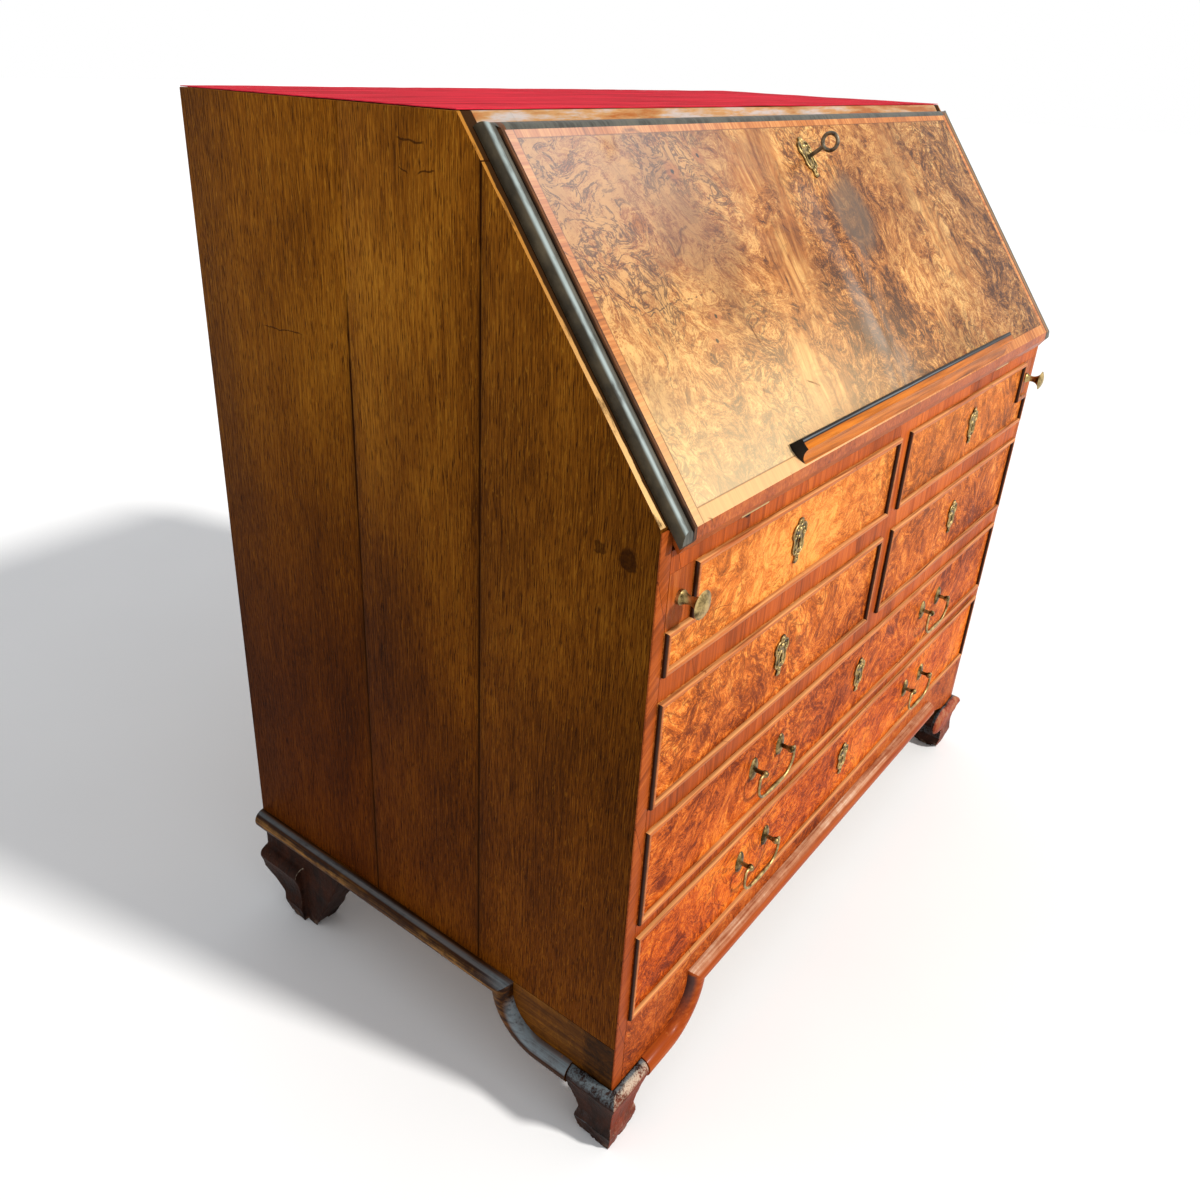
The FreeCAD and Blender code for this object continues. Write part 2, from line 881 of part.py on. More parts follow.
def make_edge_mouldings():
    """Mouldings round the fall's lip, mitred at its upper corners."""
    inner_half_run = lip_half - edge_moulding_width
    low = -fall_thickness
    rise = Vector(0, slope_cos, slope_sin)
    outward = Vector(0, -slope_sin, slope_cos)
    base = fall_point(low, lip_off)

    def side_place(across, up):
        return base + Vector(-lip_half + across, 0, 0) + outward * up

    head = fall_point(lip_top, lip_off)

    def head_place(across, up):
        return head + Vector(-lip_half, 0, 0) - rise * across + outward * up

    side_section, head_section = edge_sections()
    side_bar = face_of(side_place, side_section).extrude(rise * (lip_top - low))
    head_bar = face_of(head_place, head_section).extrude(Vector(lip_half + lip_half, 0, 0))

    def slope_place(x, u):
        return fall_point(u, 0) + Vector(x, 0, 0)

    lower = lip_top - head_moulding_width
    side_area = corners(
        (-lip_half, low), (-inner_half_run, low), (-inner_half_run, lower), (-lip_half, lip_top)
    )
    head_area = corners(
        (-inner_half_run, lower), (inner_half_run, lower), (lip_half, lip_top), (-lip_half, lip_top)
    )
    thick = outward * (fall_thickness + overrun)
    left = side_bar.common(face_of(slope_place, side_area).extrude(thick))
    left = left.common(along_fall(fall_section(lip_top), (-lip_half, lip_half))).Solids[0]
    across = head_bar.common(face_of(slope_place, head_area).extrude(thick)).Solids[0]
    return [left, mirrored(left), across.cut(lock_mortise())]


def make_ledge():
    """The book ledge: a moulding with a hollow lower side and ends cut back in a hollow curve."""
    foot = arris_u + ledge_foot_rise
    head = foot + ledge_width
    face = fall_thickness
    crown = face + ledge_proud
    nose_foot = head - ledge_nose - ledge_nose
    hollow = (nose_foot - ledge_nose * half_share, face + ledge_proud * half_share)
    section = [
        ((foot, face),),
        ((head, face),),
        ((head, crown),),
        ((nose_foot, crown),),
        (hollow, (foot, face)),
    ]
    reach = ledge_length * half_share
    bar = along_fall(section, (-reach, reach))

    def slope_place(x, u):
        return fall_point(u, 0) + Vector(x, 0, 0)

    start = (-reach, head - ledge_nose)
    end = (-reach + ledge_end_cut, foot - overrun)
    bend = (-reach + ledge_end_cut * ledge_bend_share, foot + ledge_nose)
    area = [(start,), (bend, end), ((-reach - overrun, foot - overrun),), ((-reach - overrun, start[1]),)]
    rise = fall_point(0, crown + overrun) - fall_point(0, 0)
    cutter = face_of(slope_place, area).extrude(rise)
    return bar.cut(cutter).cut(mirrored(cutter))


def hinge_knuckle_spans(x):
    """The spans of a hinge's knuckles, from left to right, less a gap at each joint."""
    length = hinge_length / hinge_knuckles
    start = x - hinge_length * half_share
    gap = hinge_clearance * half_share
    return [
        (start + length * number + gap, start + length * (number + 1) - gap)
        for number in range(hinge_knuckles)
    ]


def barrel(radius, span):
    """A cylinder on the hinge axis."""
    return Part.makeCylinder(radius, span[1] - span[0], Vector(span[0], axis_y, axis_z), Vector(1, 0, 0))


def make_fixed_hinges():
    """The leaves let into the fall rail, each with its outer knuckles and the pin."""
    pieces = []
    for x in hinge_places:
        spans = hinge_knuckle_spans(x)
        leaf = box(
            (spans[0][0], spans[-1][1]),
            (0, hinge_leaf_width),
            (axis_z - hinge_leaf_thickness, axis_z),
        )
        parts = [barrel(hinge_pin_radius, (spans[0][0], spans[-1][1]))]
        for number in range(0, hinge_knuckles, 2):
            parts.append(barrel(hinge_barrel_radius, spans[number]))
            parts.append(box(spans[number], (axis_y, 0), (axis_z - hinge_leaf_thickness, axis_z)))
        pieces.append(leaf.fuse(parts).removeSplitter())
    return pieces


def make_fall_hinges():
    """The leaves let into the fall's inner face, each with its middle knuckle."""
    pieces = []
    for x in hinge_places:
        spans = hinge_knuckle_spans(x)
        start = hinge_barrel_radius + hinge_clearance
        leaf = fall_box((spans[0][0], spans[-1][1]), (start, hinge_leaf_width), (0, hinge_leaf_thickness))
        middle = spans[hinge_knuckles // 2]
        knuckle = barrel(hinge_barrel_radius, middle)
        bridge = fall_box(middle, (0, start), (0, hinge_leaf_thickness))
        whole = leaf.fuse([knuckle, bridge]).removeSplitter()
        pieces.append(whole.cut(barrel(hinge_pin_radius + hinge_pin_gap, (x - hinge_length, x + hinge_length))))
    return pieces


def make_fall_rail():
    """The veneered rail under the fall, recessed for the hinge leaves."""
    rail = box((-inner_half, inner_half), (0, fall_rail_depth), (fall_rail_foot, bed_height))
    for x in hinge_places:
        spans = hinge_knuckle_spans(x)
        rail = rail.cut(
            box(
                (spans[0][0], spans[-1][1]),
                (-overrun, hinge_leaf_width),
                (axis_z - hinge_leaf_thickness, axis_z + overrun),
            )
        )
    return rail


def make_fall_lock():
    """The lock case let into the fall's head, with a channel for the bolt and a chamber for the key."""
    reach = fall_lock_width * half_share
    end = fall_lock_setback + fall_lock_depth
    case = fall_box((-reach, reach), (core_top - fall_lock_height, core_top), (0, end))
    chamber = key_bit_length + key_shank_radius + key_chamber_gap
    case = case.cut(key_cylinder(chamber, end + overrun, end - key_bit_width - key_chamber_gap))
    return case.cut(bolt_box(bolt_gap, bolt_inset + overrun))


def make_bolt():
    """The bolt, drawn back in its channel."""
    return bolt_box(0, 0)


def make_key():
    """The key: shank, bit in the lock and a round bow."""
    end = fall_lock_setback + fall_lock_depth
    inside = end - key_bit_width
    tip = fall_thickness + key_shank_reach
    shank = key_cylinder(key_shank_radius, tip, inside)
    bow_off = tip + key_bow_radius
    bow = Part.makeTorus(key_bow_radius, key_bow_wire, fall_point(lock_u, bow_off), Vector(1, 0, 0))
    reach = key_bit_thickness * half_share
    bit_end = lock_u - key_shank_radius - key_bit_length
    bit = fall_box((-reach, reach), (bit_end, lock_u), (inside, end - key_chamber_gap))
    return shank.fuse([bow, bit]).removeSplitter()


def make_fall_escutcheon():
    """The brass plate over the fall's keyhole."""

    def place(x, u):
        return fall_point(lock_u + u, fall_thickness) + Vector(x, 0, 0)

    outward = fall_point(0, escutcheon_thickness) - fall_point(0, 0)
    plate = face_of(place, escutcheon_steps(escutcheon_width, escutcheon_height)).extrude(outward)
    return plate.cut(key_cylinder(keyhole_radius, fall_thickness + overrun, 0))


def make_gallery():
    """Shelf and upright partitions of the pigeonholes, with the small drawers' dividers below."""
    shelf_foot = bed_height + small_drawer_height
    shelf_top = shelf_foot + gallery_board
    depth = (gallery_setback, back_face)
    pieces = [box((-inner_half, inner_half), depth, (shelf_foot, shelf_top))]
    rows = ((small_drawer_count, bed_height, shelf_foot), (pigeonhole_count, shelf_top, top_foot))
    for count, foot, top in rows:
        pitch = (inner_half + inner_half) / count
        for number in range(1, count):
            middle = -inner_half + pitch * number
            reach = gallery_board * half_share
            pieces.append(box((middle - reach, middle + reach), depth, (foot, top)))
    return pieces


def make_small_drawer(number):
    """One drawer of the gallery, with its turned knob."""
    pitch = (inner_half + inner_half) / small_drawer_count
    reach = gallery_board * half_share + small_gap
    left = -inner_half + pitch * number + reach
    right = -inner_half + pitch * (number + 1) - reach
    foot = bed_height + runner_gap
    top = bed_height + small_drawer_height - small_gap
    front_end = gallery_setback + small_front_thickness
    rear = back_face - small_front_thickness
    inner = (left + small_side_thickness, right - small_side_thickness)
    floor_top = foot + small_bottom_thickness
    return [
        box((left, right), (gallery_setback, front_end), (foot, top)),
        box((left, inner[0]), (front_end, rear), (foot, top)),
        box((inner[1], right), (front_end, rear), (foot, top)),
        box(inner, (front_end, rear), (foot, floor_top)),
        box(inner, (rear - small_side_thickness, rear), (floor_top, top)),
        make_knob(
            (left + right) * half_share,
            (foot + top) * half_share,
            gallery_setback,
            small_knob_reach,
            small_knob_radius,
            small_knob_neck_radius,
            small_knob_base_radius,
            small_knob_base_thickness,
            small_knob_rim,
        ),
    ]


def corner_x(distance):
    """X at a distance inwards from the left side's outer face."""
    return distance - half_width


def make_front_base():
    """The front base board, with its foot swept down to the left wing and cut slanting at the right."""
    outer = wing_radius + moulding_radius
    drop = moulding_level - moulding_foot
    edge = wing_run + math.sqrt(outer * outer - drop * drop)
    diagonal = math.sqrt(half_share)
    middle = (wing_run + outer * diagonal, moulding_level - outer * diagonal)
    steps = [
        ((-inner_half, base_top),),
        ((-inner_half, knee_foot),),
        ((corner_x(wing_run), knee_foot),),
        ((corner_x(middle[0]), middle[1]), (corner_x(edge), moulding_foot)),
        ((half_width - lost_wing_run, moulding_foot),),
        ((half_width - knee_length, knee_level + moulding_radius),),
        ((half_width - knee_length, knee_foot),),
        ((inner_half, knee_foot),),
        ((inner_half, base_top),),
    ]
    return along_y(steps, (0, base_board_thickness))


def make_side_base():
    """The left side's base board, swept down to the wing at the front and straight behind it."""
    outer = wing_radius + moulding_radius
    drop = moulding_level - moulding_foot
    edge = wing_run + math.sqrt(outer * outer - drop * drop)
    diagonal = math.sqrt(half_share)
    middle = (wing_run + outer * diagonal, moulding_level - outer * diagonal)
    steps = [
        ((facing_thickness, panel_foot_height),),
        ((facing_thickness, knee_foot),),
        ((wing_run, knee_foot),),
        (middle, (edge, moulding_foot)),
        ((case_depth, moulding_foot),),
        ((case_depth, panel_foot_height),),
    ]
    return along_x(steps, (-half_width, -inner_half))


def half_round(place):
    """A half-round section standing on a line, by its two directions."""
    radius = moulding_radius
    return face_of(place, [((-radius, 0),), ((0, radius), (radius, 0))])


def make_wing():
    """A swept half-round on the front: a mitred head, a quarter turn and a short run to the knee."""

    def head_place(across, out):
        return Vector(wing_run + wing_radius + across, -out, moulding_level)

    head = half_round(head_place)
    upper = head.extrude(Vector(0, 0, moulding_radius))
    bend = head.revolve(Vector(wing_run, 0, moulding_level), Vector(0, 1, 0), 90)

    def run_place(across, out):
        return Vector(wing_run, -out, knee_level + across)

    run = half_round(run_place).extrude(Vector(knee_length - wing_run, 0, 0))
    whole = upper.fuse([bend, run]).removeSplitter()
    return whole.cut(mitre_block(1))


def mitre_block(way):
    """The half-space cutter above or below the mitre of a wing and a straight moulding."""
    centre = (wing_run + wing_radius, moulding_level)
    reach = moulding_radius + overrun
    steps = corners(
        (centre[0] - reach, centre[1] + reach),
        (centre[0] + reach, centre[1] - reach),
        (centre[0] + way * reach, centre[1] + way * reach),
    )
    return along_y(steps, (-moulding_radius - overrun, overrun))


def place_front(solid):
    """From a distance along the front, measured at the left corner, to the case."""
    moved = solid.copy()
    moved.translate(Vector(-half_width, 0, 0))
    return moved


def place_side(solid):
    """From a distance along the front to the same distance along the left side."""
    moved = solid.mirror(Vector(0, 0, 0), Vector(1, -1, 0))
    moved.translate(Vector(-half_width, 0, 0))
    return moved


def straight_moulding(length):
    """A straight half-round, its left end mitred to a wing."""

    def place(across, out):
        return Vector(wing_run + wing_radius - moulding_radius, -out, moulding_level + across)

    start = wing_run + wing_radius - moulding_radius
    bar = half_round(place).extrude(Vector(length - start, 0, 0))
    return bar.cut(mitre_block(-1))


def foot_profile(width, knee, top):
    """The outline of a foot from its outer face inwards: knee, ankle and pad."""
    bulge = moulding_radius
    diagonal = math.sqrt(half_share)
    knee_side = (-bulge * diagonal, knee_level + bulge * diagonal)
    ankle_middle = (foot_ankle_height + knee_level) * half_share
    ankle_bend = (-foot_ankle_inset - (bulge - foot_ankle_inset) * ankle_hollow_share, ankle_middle)
    return [
        ((0, top),),
        ((0, knee_level + bulge),),
        (knee_side, (-bulge, knee_level)),
        (ankle_bend, (-foot_ankle_inset, foot_ankle_height)),
        ((-foot_pad_reach, foot_pad_height),),
        ((-foot_toe_reach, 0),),
        ((foot_toe_width, 0),),
        ((width, foot_pad_height * half_share),),
        ((width, foot_pad_height),),
        ((foot_ankle_width, foot_ankle_height),),
        ((knee, knee_foot),),
        ((knee, top),),
    ]


def make_front_foot():
    """A front foot, shaped alike on both outer faces, hollowed above for the base boards."""
    steps = foot_profile(foot_pad_width, knee_length, panel_foot_height)
    reach = (-moulding_radius - overrun, knee_length + overrun)
    whole = along_y(steps, reach).common(along_x(steps, reach))
    seat = box((0, knee_length + overrun), (0, knee_length + overrun), (knee_foot, panel_foot_height))
    foot = whole.cut(seat)
    foot.translate(Vector(-half_width, 0, 0))
    return foot


def make_rear_foot():
    """A rear foot: a bracket that leans forward, with a knee on its outer face only."""
    outline = corners(
        (case_depth, knee_foot),
        (case_depth, rear_heel_height),
        (case_depth - rear_pad_back + foot_toe_reach, rear_ankle_height),
        (case_depth - rear_pad_back, 0),
        (case_depth - rear_pad_front, 0),
        (case_depth - rear_pad_front - foot_toe_reach, foot_pad_height * half_share),
        (case_depth - rear_bracket_run, moulding_foot),
        (case_depth, moulding_foot),
    )
    reach = (-moulding_radius - overrun, knee_length + overrun)
    profile = foot_profile(foot_pad_width, knee_length, panel_foot_height)
    lower = along_y(profile, (0, case_depth)).common(along_x(outline, reach))
    bare = box(
        (-moulding_radius - overrun, 0),
        (0, case_depth - rear_knee_length),
        (0, panel_foot_height),
    )
    seat = box((0, side_thickness), (0, case_depth), (moulding_foot, panel_foot_height))
    foot = lower.cut(bare).cut(seat)
    foot.translate(Vector(-half_width, 0, 0))
    return foot


# Carcase
left_side = make_side()
add("side_left", *left_side)
add("side_right", *[mirrored(board) for board in left_side])
facing = make_facing()
top_board, top_band = make_top()
add("top_board", top_board)
add("crossbanded_facings", facing, mirrored(facing), top_band)
add("top_cloth", make_cloth())
add("back_boards", *make_back())
add(
    "bottom_board",
    box((-inner_half, inner_half), (base_board_thickness, back_face), (base_top - bottom_thickness, base_top)),
)
add("fall_rail", make_fall_rail())
add("writing_bed", box((-inner_half, inner_half), (fall_rail_depth, back_face), (fall_rail_foot, bed_height)))
add("drawer_rails", *make_rails())
add("drawer_runners", *make_runners())
add("loper_guides", *make_loper_guides())
add("pigeonhole_gallery", *make_gallery())
add("fall_hinge_fixed", *make_fixed_hinges())

# Base and feet
side_base = make_side_base()
add("base_boards", make_front_base(), side_base, mirrored(side_base))
side_moulding = place_side(straight_moulding(case_depth))
add("base_mouldings", place_front(straight_moulding(case_width - lost_wing_run)))
add("base_mouldings", side_moulding, mirrored(side_moulding))
wing = make_wing()
side_wing = place_side(wing)
add("foot_wings", place_front(wing), side_wing, mirrored(side_wing))
front_foot = make_front_foot()
rear_foot = make_rear_foot()
add("foot_front_left", front_foot)
add("foot_front_right", mirrored(front_foot))
add("foot_rear_left", rear_foot)
add("foot_rear_right", mirrored(rear_foot))

# Fall
add("fall_board", *make_fall())
add("fall_edge_mouldings", *make_edge_mouldings())
add("book_ledge", make_ledge())
add("fall_escutcheon", make_fall_escutcheon())
add("fall_lock", make_fall_lock())
add("fall_hinge_moving", *make_fall_hinges())
add("lock_bolt", make_bolt())
add("key", make_key())

# Lopers and drawers
loper = make_loper()
loper_knob = make_loper_knob()
add("loper_left", loper)
add("loper_right", mirrored(loper))
add("loper_knob_left", loper_knob)
add("loper_knob_right", mirrored(loper_knob))
for drawer_name, (row, side) in drawer_places.items():
    make_drawer(drawer_name, row, side)
for number in range(small_drawer_count):
    add("small_drawer_" + str(number + 1), *make_small_drawer(number))

# The origin is the middle of the foot of the whole box
compounds = {name: Part.makeCompound(solids) for name, solids in nodes.items()}
whole_box = Part.makeCompound(list(compounds.values())).BoundBox
shift = Vector(0, -(whole_box.YMin + whole_box.YMax) * half_share, 0)
for name, compound in compounds.items():
    compound.translate(shift)
    compound.exportStep("parts/" + name + ".step")
    for solid in compound.Solids:
        if not solid.isValid():
            print("not valid", name)
print("nodes", len(compounds), "front plane at y", shift.y)
print("fall axis y", axis_y + shift.y, "z", axis_z, "slope degrees", math.degrees(slope_angle))
print("box", whole_box.XMin, whole_box.XMax, whole_box.YMin, whole_box.YMax, whole_box.ZMin, whole_box.ZMax)
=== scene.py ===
"""Finishes, cloth and fittings of a slant-front bureau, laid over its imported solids."""
import math

import bpy
from mathutils import Matrix, Vector


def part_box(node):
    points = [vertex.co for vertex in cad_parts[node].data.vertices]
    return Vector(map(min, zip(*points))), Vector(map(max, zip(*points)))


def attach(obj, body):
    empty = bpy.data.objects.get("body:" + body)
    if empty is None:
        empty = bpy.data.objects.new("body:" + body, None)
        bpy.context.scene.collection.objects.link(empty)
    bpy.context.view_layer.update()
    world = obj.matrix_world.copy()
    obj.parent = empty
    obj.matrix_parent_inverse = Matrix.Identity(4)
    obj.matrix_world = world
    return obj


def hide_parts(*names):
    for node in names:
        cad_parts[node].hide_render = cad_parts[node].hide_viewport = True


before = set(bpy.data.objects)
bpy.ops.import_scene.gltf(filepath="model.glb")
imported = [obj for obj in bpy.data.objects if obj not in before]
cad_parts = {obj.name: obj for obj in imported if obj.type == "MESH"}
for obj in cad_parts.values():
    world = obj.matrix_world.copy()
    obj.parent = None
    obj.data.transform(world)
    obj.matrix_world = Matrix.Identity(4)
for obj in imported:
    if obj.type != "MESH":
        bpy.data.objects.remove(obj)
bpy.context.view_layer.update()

bl_info = {
    "name": "Slant-front bureau",
    "version": (1, 0, 0),
    "blender": (4, 5, 0),
    "location": "View3D > Sidebar > Bureau",
    "description": "Finishes, cloth and fittings of a slant-front bureau",
    "category": "Object",
}

MM = 0.001
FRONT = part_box("drawer_rails")[0].y
HALF_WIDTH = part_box("side_right")[1].x
BOARD_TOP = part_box("top_board")[1].z
SLOPE = math.radians(52.81956)
SLOPE_FOOT = 0.755
UP_SLOPE = (0, math.cos(SLOPE), math.sin(SLOPE))
OPAQUE = 1.0

# Grain: how much finer the pores and how much broader the tone are than the streaks.
PORE_SHARE = 4
BROAD_SHARE = 0.09
BURR_THREADS = (620.0, 620.0, 620.0)
CLOTH_THREADS = 260.0
BACK_BOARDS = 5

# Marks on the sides, by depth behind the front and height.
SIDE_JOINTS = ((0.197, 1.2), (0.366, 0.9))
SIDE_KNOTS = ((0.031, 0.722, 0.0085, 0.0115, 1.0), (0.06, 0.7235, 0.0055, 0.008, 0.8))
SIDE_SPLITS = (
    (0.276, 1.0235, 0.018, 0.0013, 0.06),
    (0.258, 1.001, 0.011, 0.001, -0.2),
    (0.285, 1.0, 0.006, 0.0009, 0.5),
    (0.466, 0.834, 0.034, 0.0008, -0.03),
)
HINGE_CHIP = (-0.376, FRONT, 0.7285)
BASE_JOINT = -0.4405

# Marks on the fall, by place across it and distance up its slope.
FIELD_HALF = 0.478
FIELD_FOOT = 0.006
FIELD_HEAD = 0.337
SHARP = 0.1 * MM
LINE_WIDTH = (0.3 * MM, 1.0 * MM)
LEAF_SEAMS = (-0.146, 0.212)
FALL_STAIN = (0.045, FRONT + 0.12, 0.945)
PIN_KNOTS = (
    ((-0.282, 0.297), 0.003),
    ((-0.226, 0.311), 0.0026),
    ((-0.34, 0.131), 0.003),
    ((-0.324, 0.153), 0.0026),
)
FALL_SPLITS = (
    (
        (-0.4676, 0.2286),
        (-0.4531, 0.2019),
        (-0.4384, 0.183),
        (-0.4189, 0.1691),
        (-0.379, 0.1755),
        (-0.31, 0.1761),
    ),
    ((-0.4305, 0.1584), (-0.424, 0.1317), (-0.438, 0.1008)),
)
LIP_ROLL = 0.0158
LIP_FILLET = 0.0052
# Distance up the ledge where its painted shadow fades in, and where its painted highlight line runs.
LEDGE_SHADOW_BAND = (0.0125, 0.0134)
LEDGE_SHINE = 0.0149

# Shades that only one place has, some of them painted light and shade, and the tints that multiply a colour.
DUSTY = (0.62, 0.56, 0.5)
JOINT_BLACK = (0.012, 0.008, 0.005)
OAK_AGED = (0.5, 0.4, 0.3)
OAK_LOW_GRIME_AND_SHADE = (0.88, 0.7, 0.45)
DEEP_BROWN = (0.035, 0.014, 0.004)
GOLD_BROWN = (0.4, 0.17, 0.028)
PALE_GOLD_HIGHLIGHT = (0.74, 0.47, 0.2)
BURR_LOW = (0.88, 0.6, 0.28)
BEAD_GLEAM = (0.74, 0.38, 0.14)
BEAD_SHADOW = (0.02, 0.006, 0.002)
BAND_LOW = (0.8, 0.66, 0.5)
CHIP_BLACK = (0.012, 0.006, 0.004)
TOP_REFLECTION_STOPS = ((0.38, (0.34, 0.12, 0.03)), (0.5, (0.5, 0.3, 0.13)), (0.62, (0.52, 0.5, 0.48)))
FALL_SMOKE = (0.5, 0.43, 0.4)
FALL_HAZE = (0.3, 0.235, 0.17)
FALL_COOL = (0.9, 1.0, 1.25)
FALL_RIGHT = (0.78, 0.86, 1.0)
FALL_LEFT = (0.66, 0.6, 0.6)
STAIN_BROWN = (0.13, 0.088, 0.06)
PIN_RIM = (0.36, 0.11, 0.03)
PIN_BLACK = (0.025, 0.01, 0.005)
SPLIT_BLACK = (0.03, 0.012, 0.006)
FIELD_GLARE = (0.8, 0.64, 0.38)
BORDER_GLARE = (0.8, 0.55, 0.28)
BORDER_STOPS = ((0.5, (0.46, 0.15, 0.035)), (0.76, (0.72, 0.36, 0.12)))
REFLECTION_GREY = (0.46, 0.46, 0.5)
LIP_SHINE = (0.33, 0.4, 0.4)
LIP_BROWN = (0.3, 0.15, 0.06)
FILLET_STOPS = ((0.4, (0.03, 0.014, 0.006)), (0.75, (0.17, 0.06, 0.018)))
QUIRK_BLACK = (0.008, 0.005, 0.003)
LEDGE_STOPS = ((0.54, (0.5, 0.14, 0.012)), (0.8, (0.76, 0.27, 0.028)))
LEDGE_END_AND_SHADOW_BLACK = (0.016, 0.014, 0.013)
LEDGE_GLEAM = (0.32, 0.38, 0.43)
ROLL_LOW = (0.8, 0.64, 0.5)
SHEEN_STOPS = ((0.42, (0.26, 0.075, 0.03)), (0.58, (0.5, 0.26, 0.15)), (0.72, (0.72, 0.56, 0.42)))
HOLLOW_BLACK = (0.035, 0.034, 0.036)
RUBBED_GOLD = (0.44, 0.21, 0.045)
UNDER_BROWN = (0.04, 0.013, 0.007)
REFLECTION_BLUE_GREY = (0.2, 0.245, 0.27)
BASE_DIM = (0.72, 0.6, 0.6)
FOOT_RED = (0.24, 0.032, 0.009)
FOOT_CHIP = (0.22, 0.13, 0.08)
KNEE_REFLECTION_GREY = (0.15, 0.19, 0.21)
KNEE_PALE = (0.6, 0.5, 0.38)
KNEE_STOPS = ((0.36, (0.09, 0.018, 0.008)), (0.56, (0.3, 0.055, 0.022)), (0.74, (0.36, 0.16, 0.06)))
TOE_BROWN = (0.2, 0.13, 0.09)

# Forms: arrises, worn feet (spread and depth of each dent), cloth and the stub of a lost wing in millimetres.
ARRIS_ANGLE = math.radians(35)
SMOOTH_ANGLE = math.radians(38)
FOOT_DENTS = (("dents", 0.02, 1.0, ""), ("toe", 0.014, 2.4, "toe"))
DENT_LEVEL = 0.9
TOE_LEAST = 0.12
CLOTH_FACES = (160, 60)
CLOTH_GAP = 0.1 * MM
RIPPLE_SPREAD = 0.09
WING_STUB = ((458, 71, 30, 25, 10), (478, 80, 24, 15, 10), (513, 76, 19.5, 17, 10))
WING_STUB_OUT = 4 * MM
PLATE_THICKNESS = 1.5 * MM
FALL_PLATE_OUT = 0.7 * MM

# Stage: the floor, the sky as light and as seen, the sun and the camera of the photograph.
FLOOR_SIZE = 60
FLOOR_DROP = 0.4 * MM
FLOOR_STOPS = ((0.3, (0.93, 0.945, 0.97)), (0.7, (0.95, 0.965, 0.99)))
SKY_LIGHT = 0.6
SKY_SEEN = 1.0
SUN_LEVEL = 3.4
SUN_WIDTH = math.radians(6)
SUN_COLOUR = (1.0, 0.96, 0.9)
SUN_FROM = (0.2, -0.77, 0.58)
CAMERA_SENSOR = 36
CAMERA_SHIFT = (0.0293, -0.0203)
CAMERA_REACH = 200
CAMERA_PLACE = (-1.1578, FRONT - 0.3911, 1.0891)
CAMERA_TURN = (63.2711, -2.2972, -51.5301)


def length_property(name, description, default):
    """A length that a user would change."""
    return bpy.props.FloatProperty(name=name, description=description, default=default, unit="LENGTH")


class BureauSizes(bpy.types.PropertyGroup):
    """Lengths that a user would change."""

    cloth_ripple: length_property("Cloth ripple", "How far the cloth rises in its ripples", 0.0012)
    cloth_thickness: length_property("Cloth thickness", "Thickness of the cloth on the top", 0.0008)
    wood_ease: length_property("Eased arris", "Width of the easing on wooden arrises", 0.0009)
    ledge_ease: length_property("Ledge rounding", "Width of the rounding along the book ledge", 0.002)
    foot_ease: length_property("Foot wear", "Width of the worn corners of the feet", 0.0028)
    foot_grain: length_property("Foot roughness", "Depth of the dents in the feet", 0.0018)
    foot_mesh: length_property("Foot mesh", "Size of the faces on the feet", 0.0016)
    toe_height: length_property("Toe height", "Height of the ragged band above the floor", 0.022)
    sole_height: length_property("Sole height", "Height below which a foot is worn flat", 0.0025)
    camera_lens: bpy.props.FloatProperty(
        name="Lens", description="Focal length of the camera in millimetres", default=30.83
    )


def colour_property(name, description, default):
    """A colour that a user would change."""
    return bpy.props.FloatVectorProperty(
        name=name, description=description, default=default, subtype="COLOR", min=0, max=1
    )


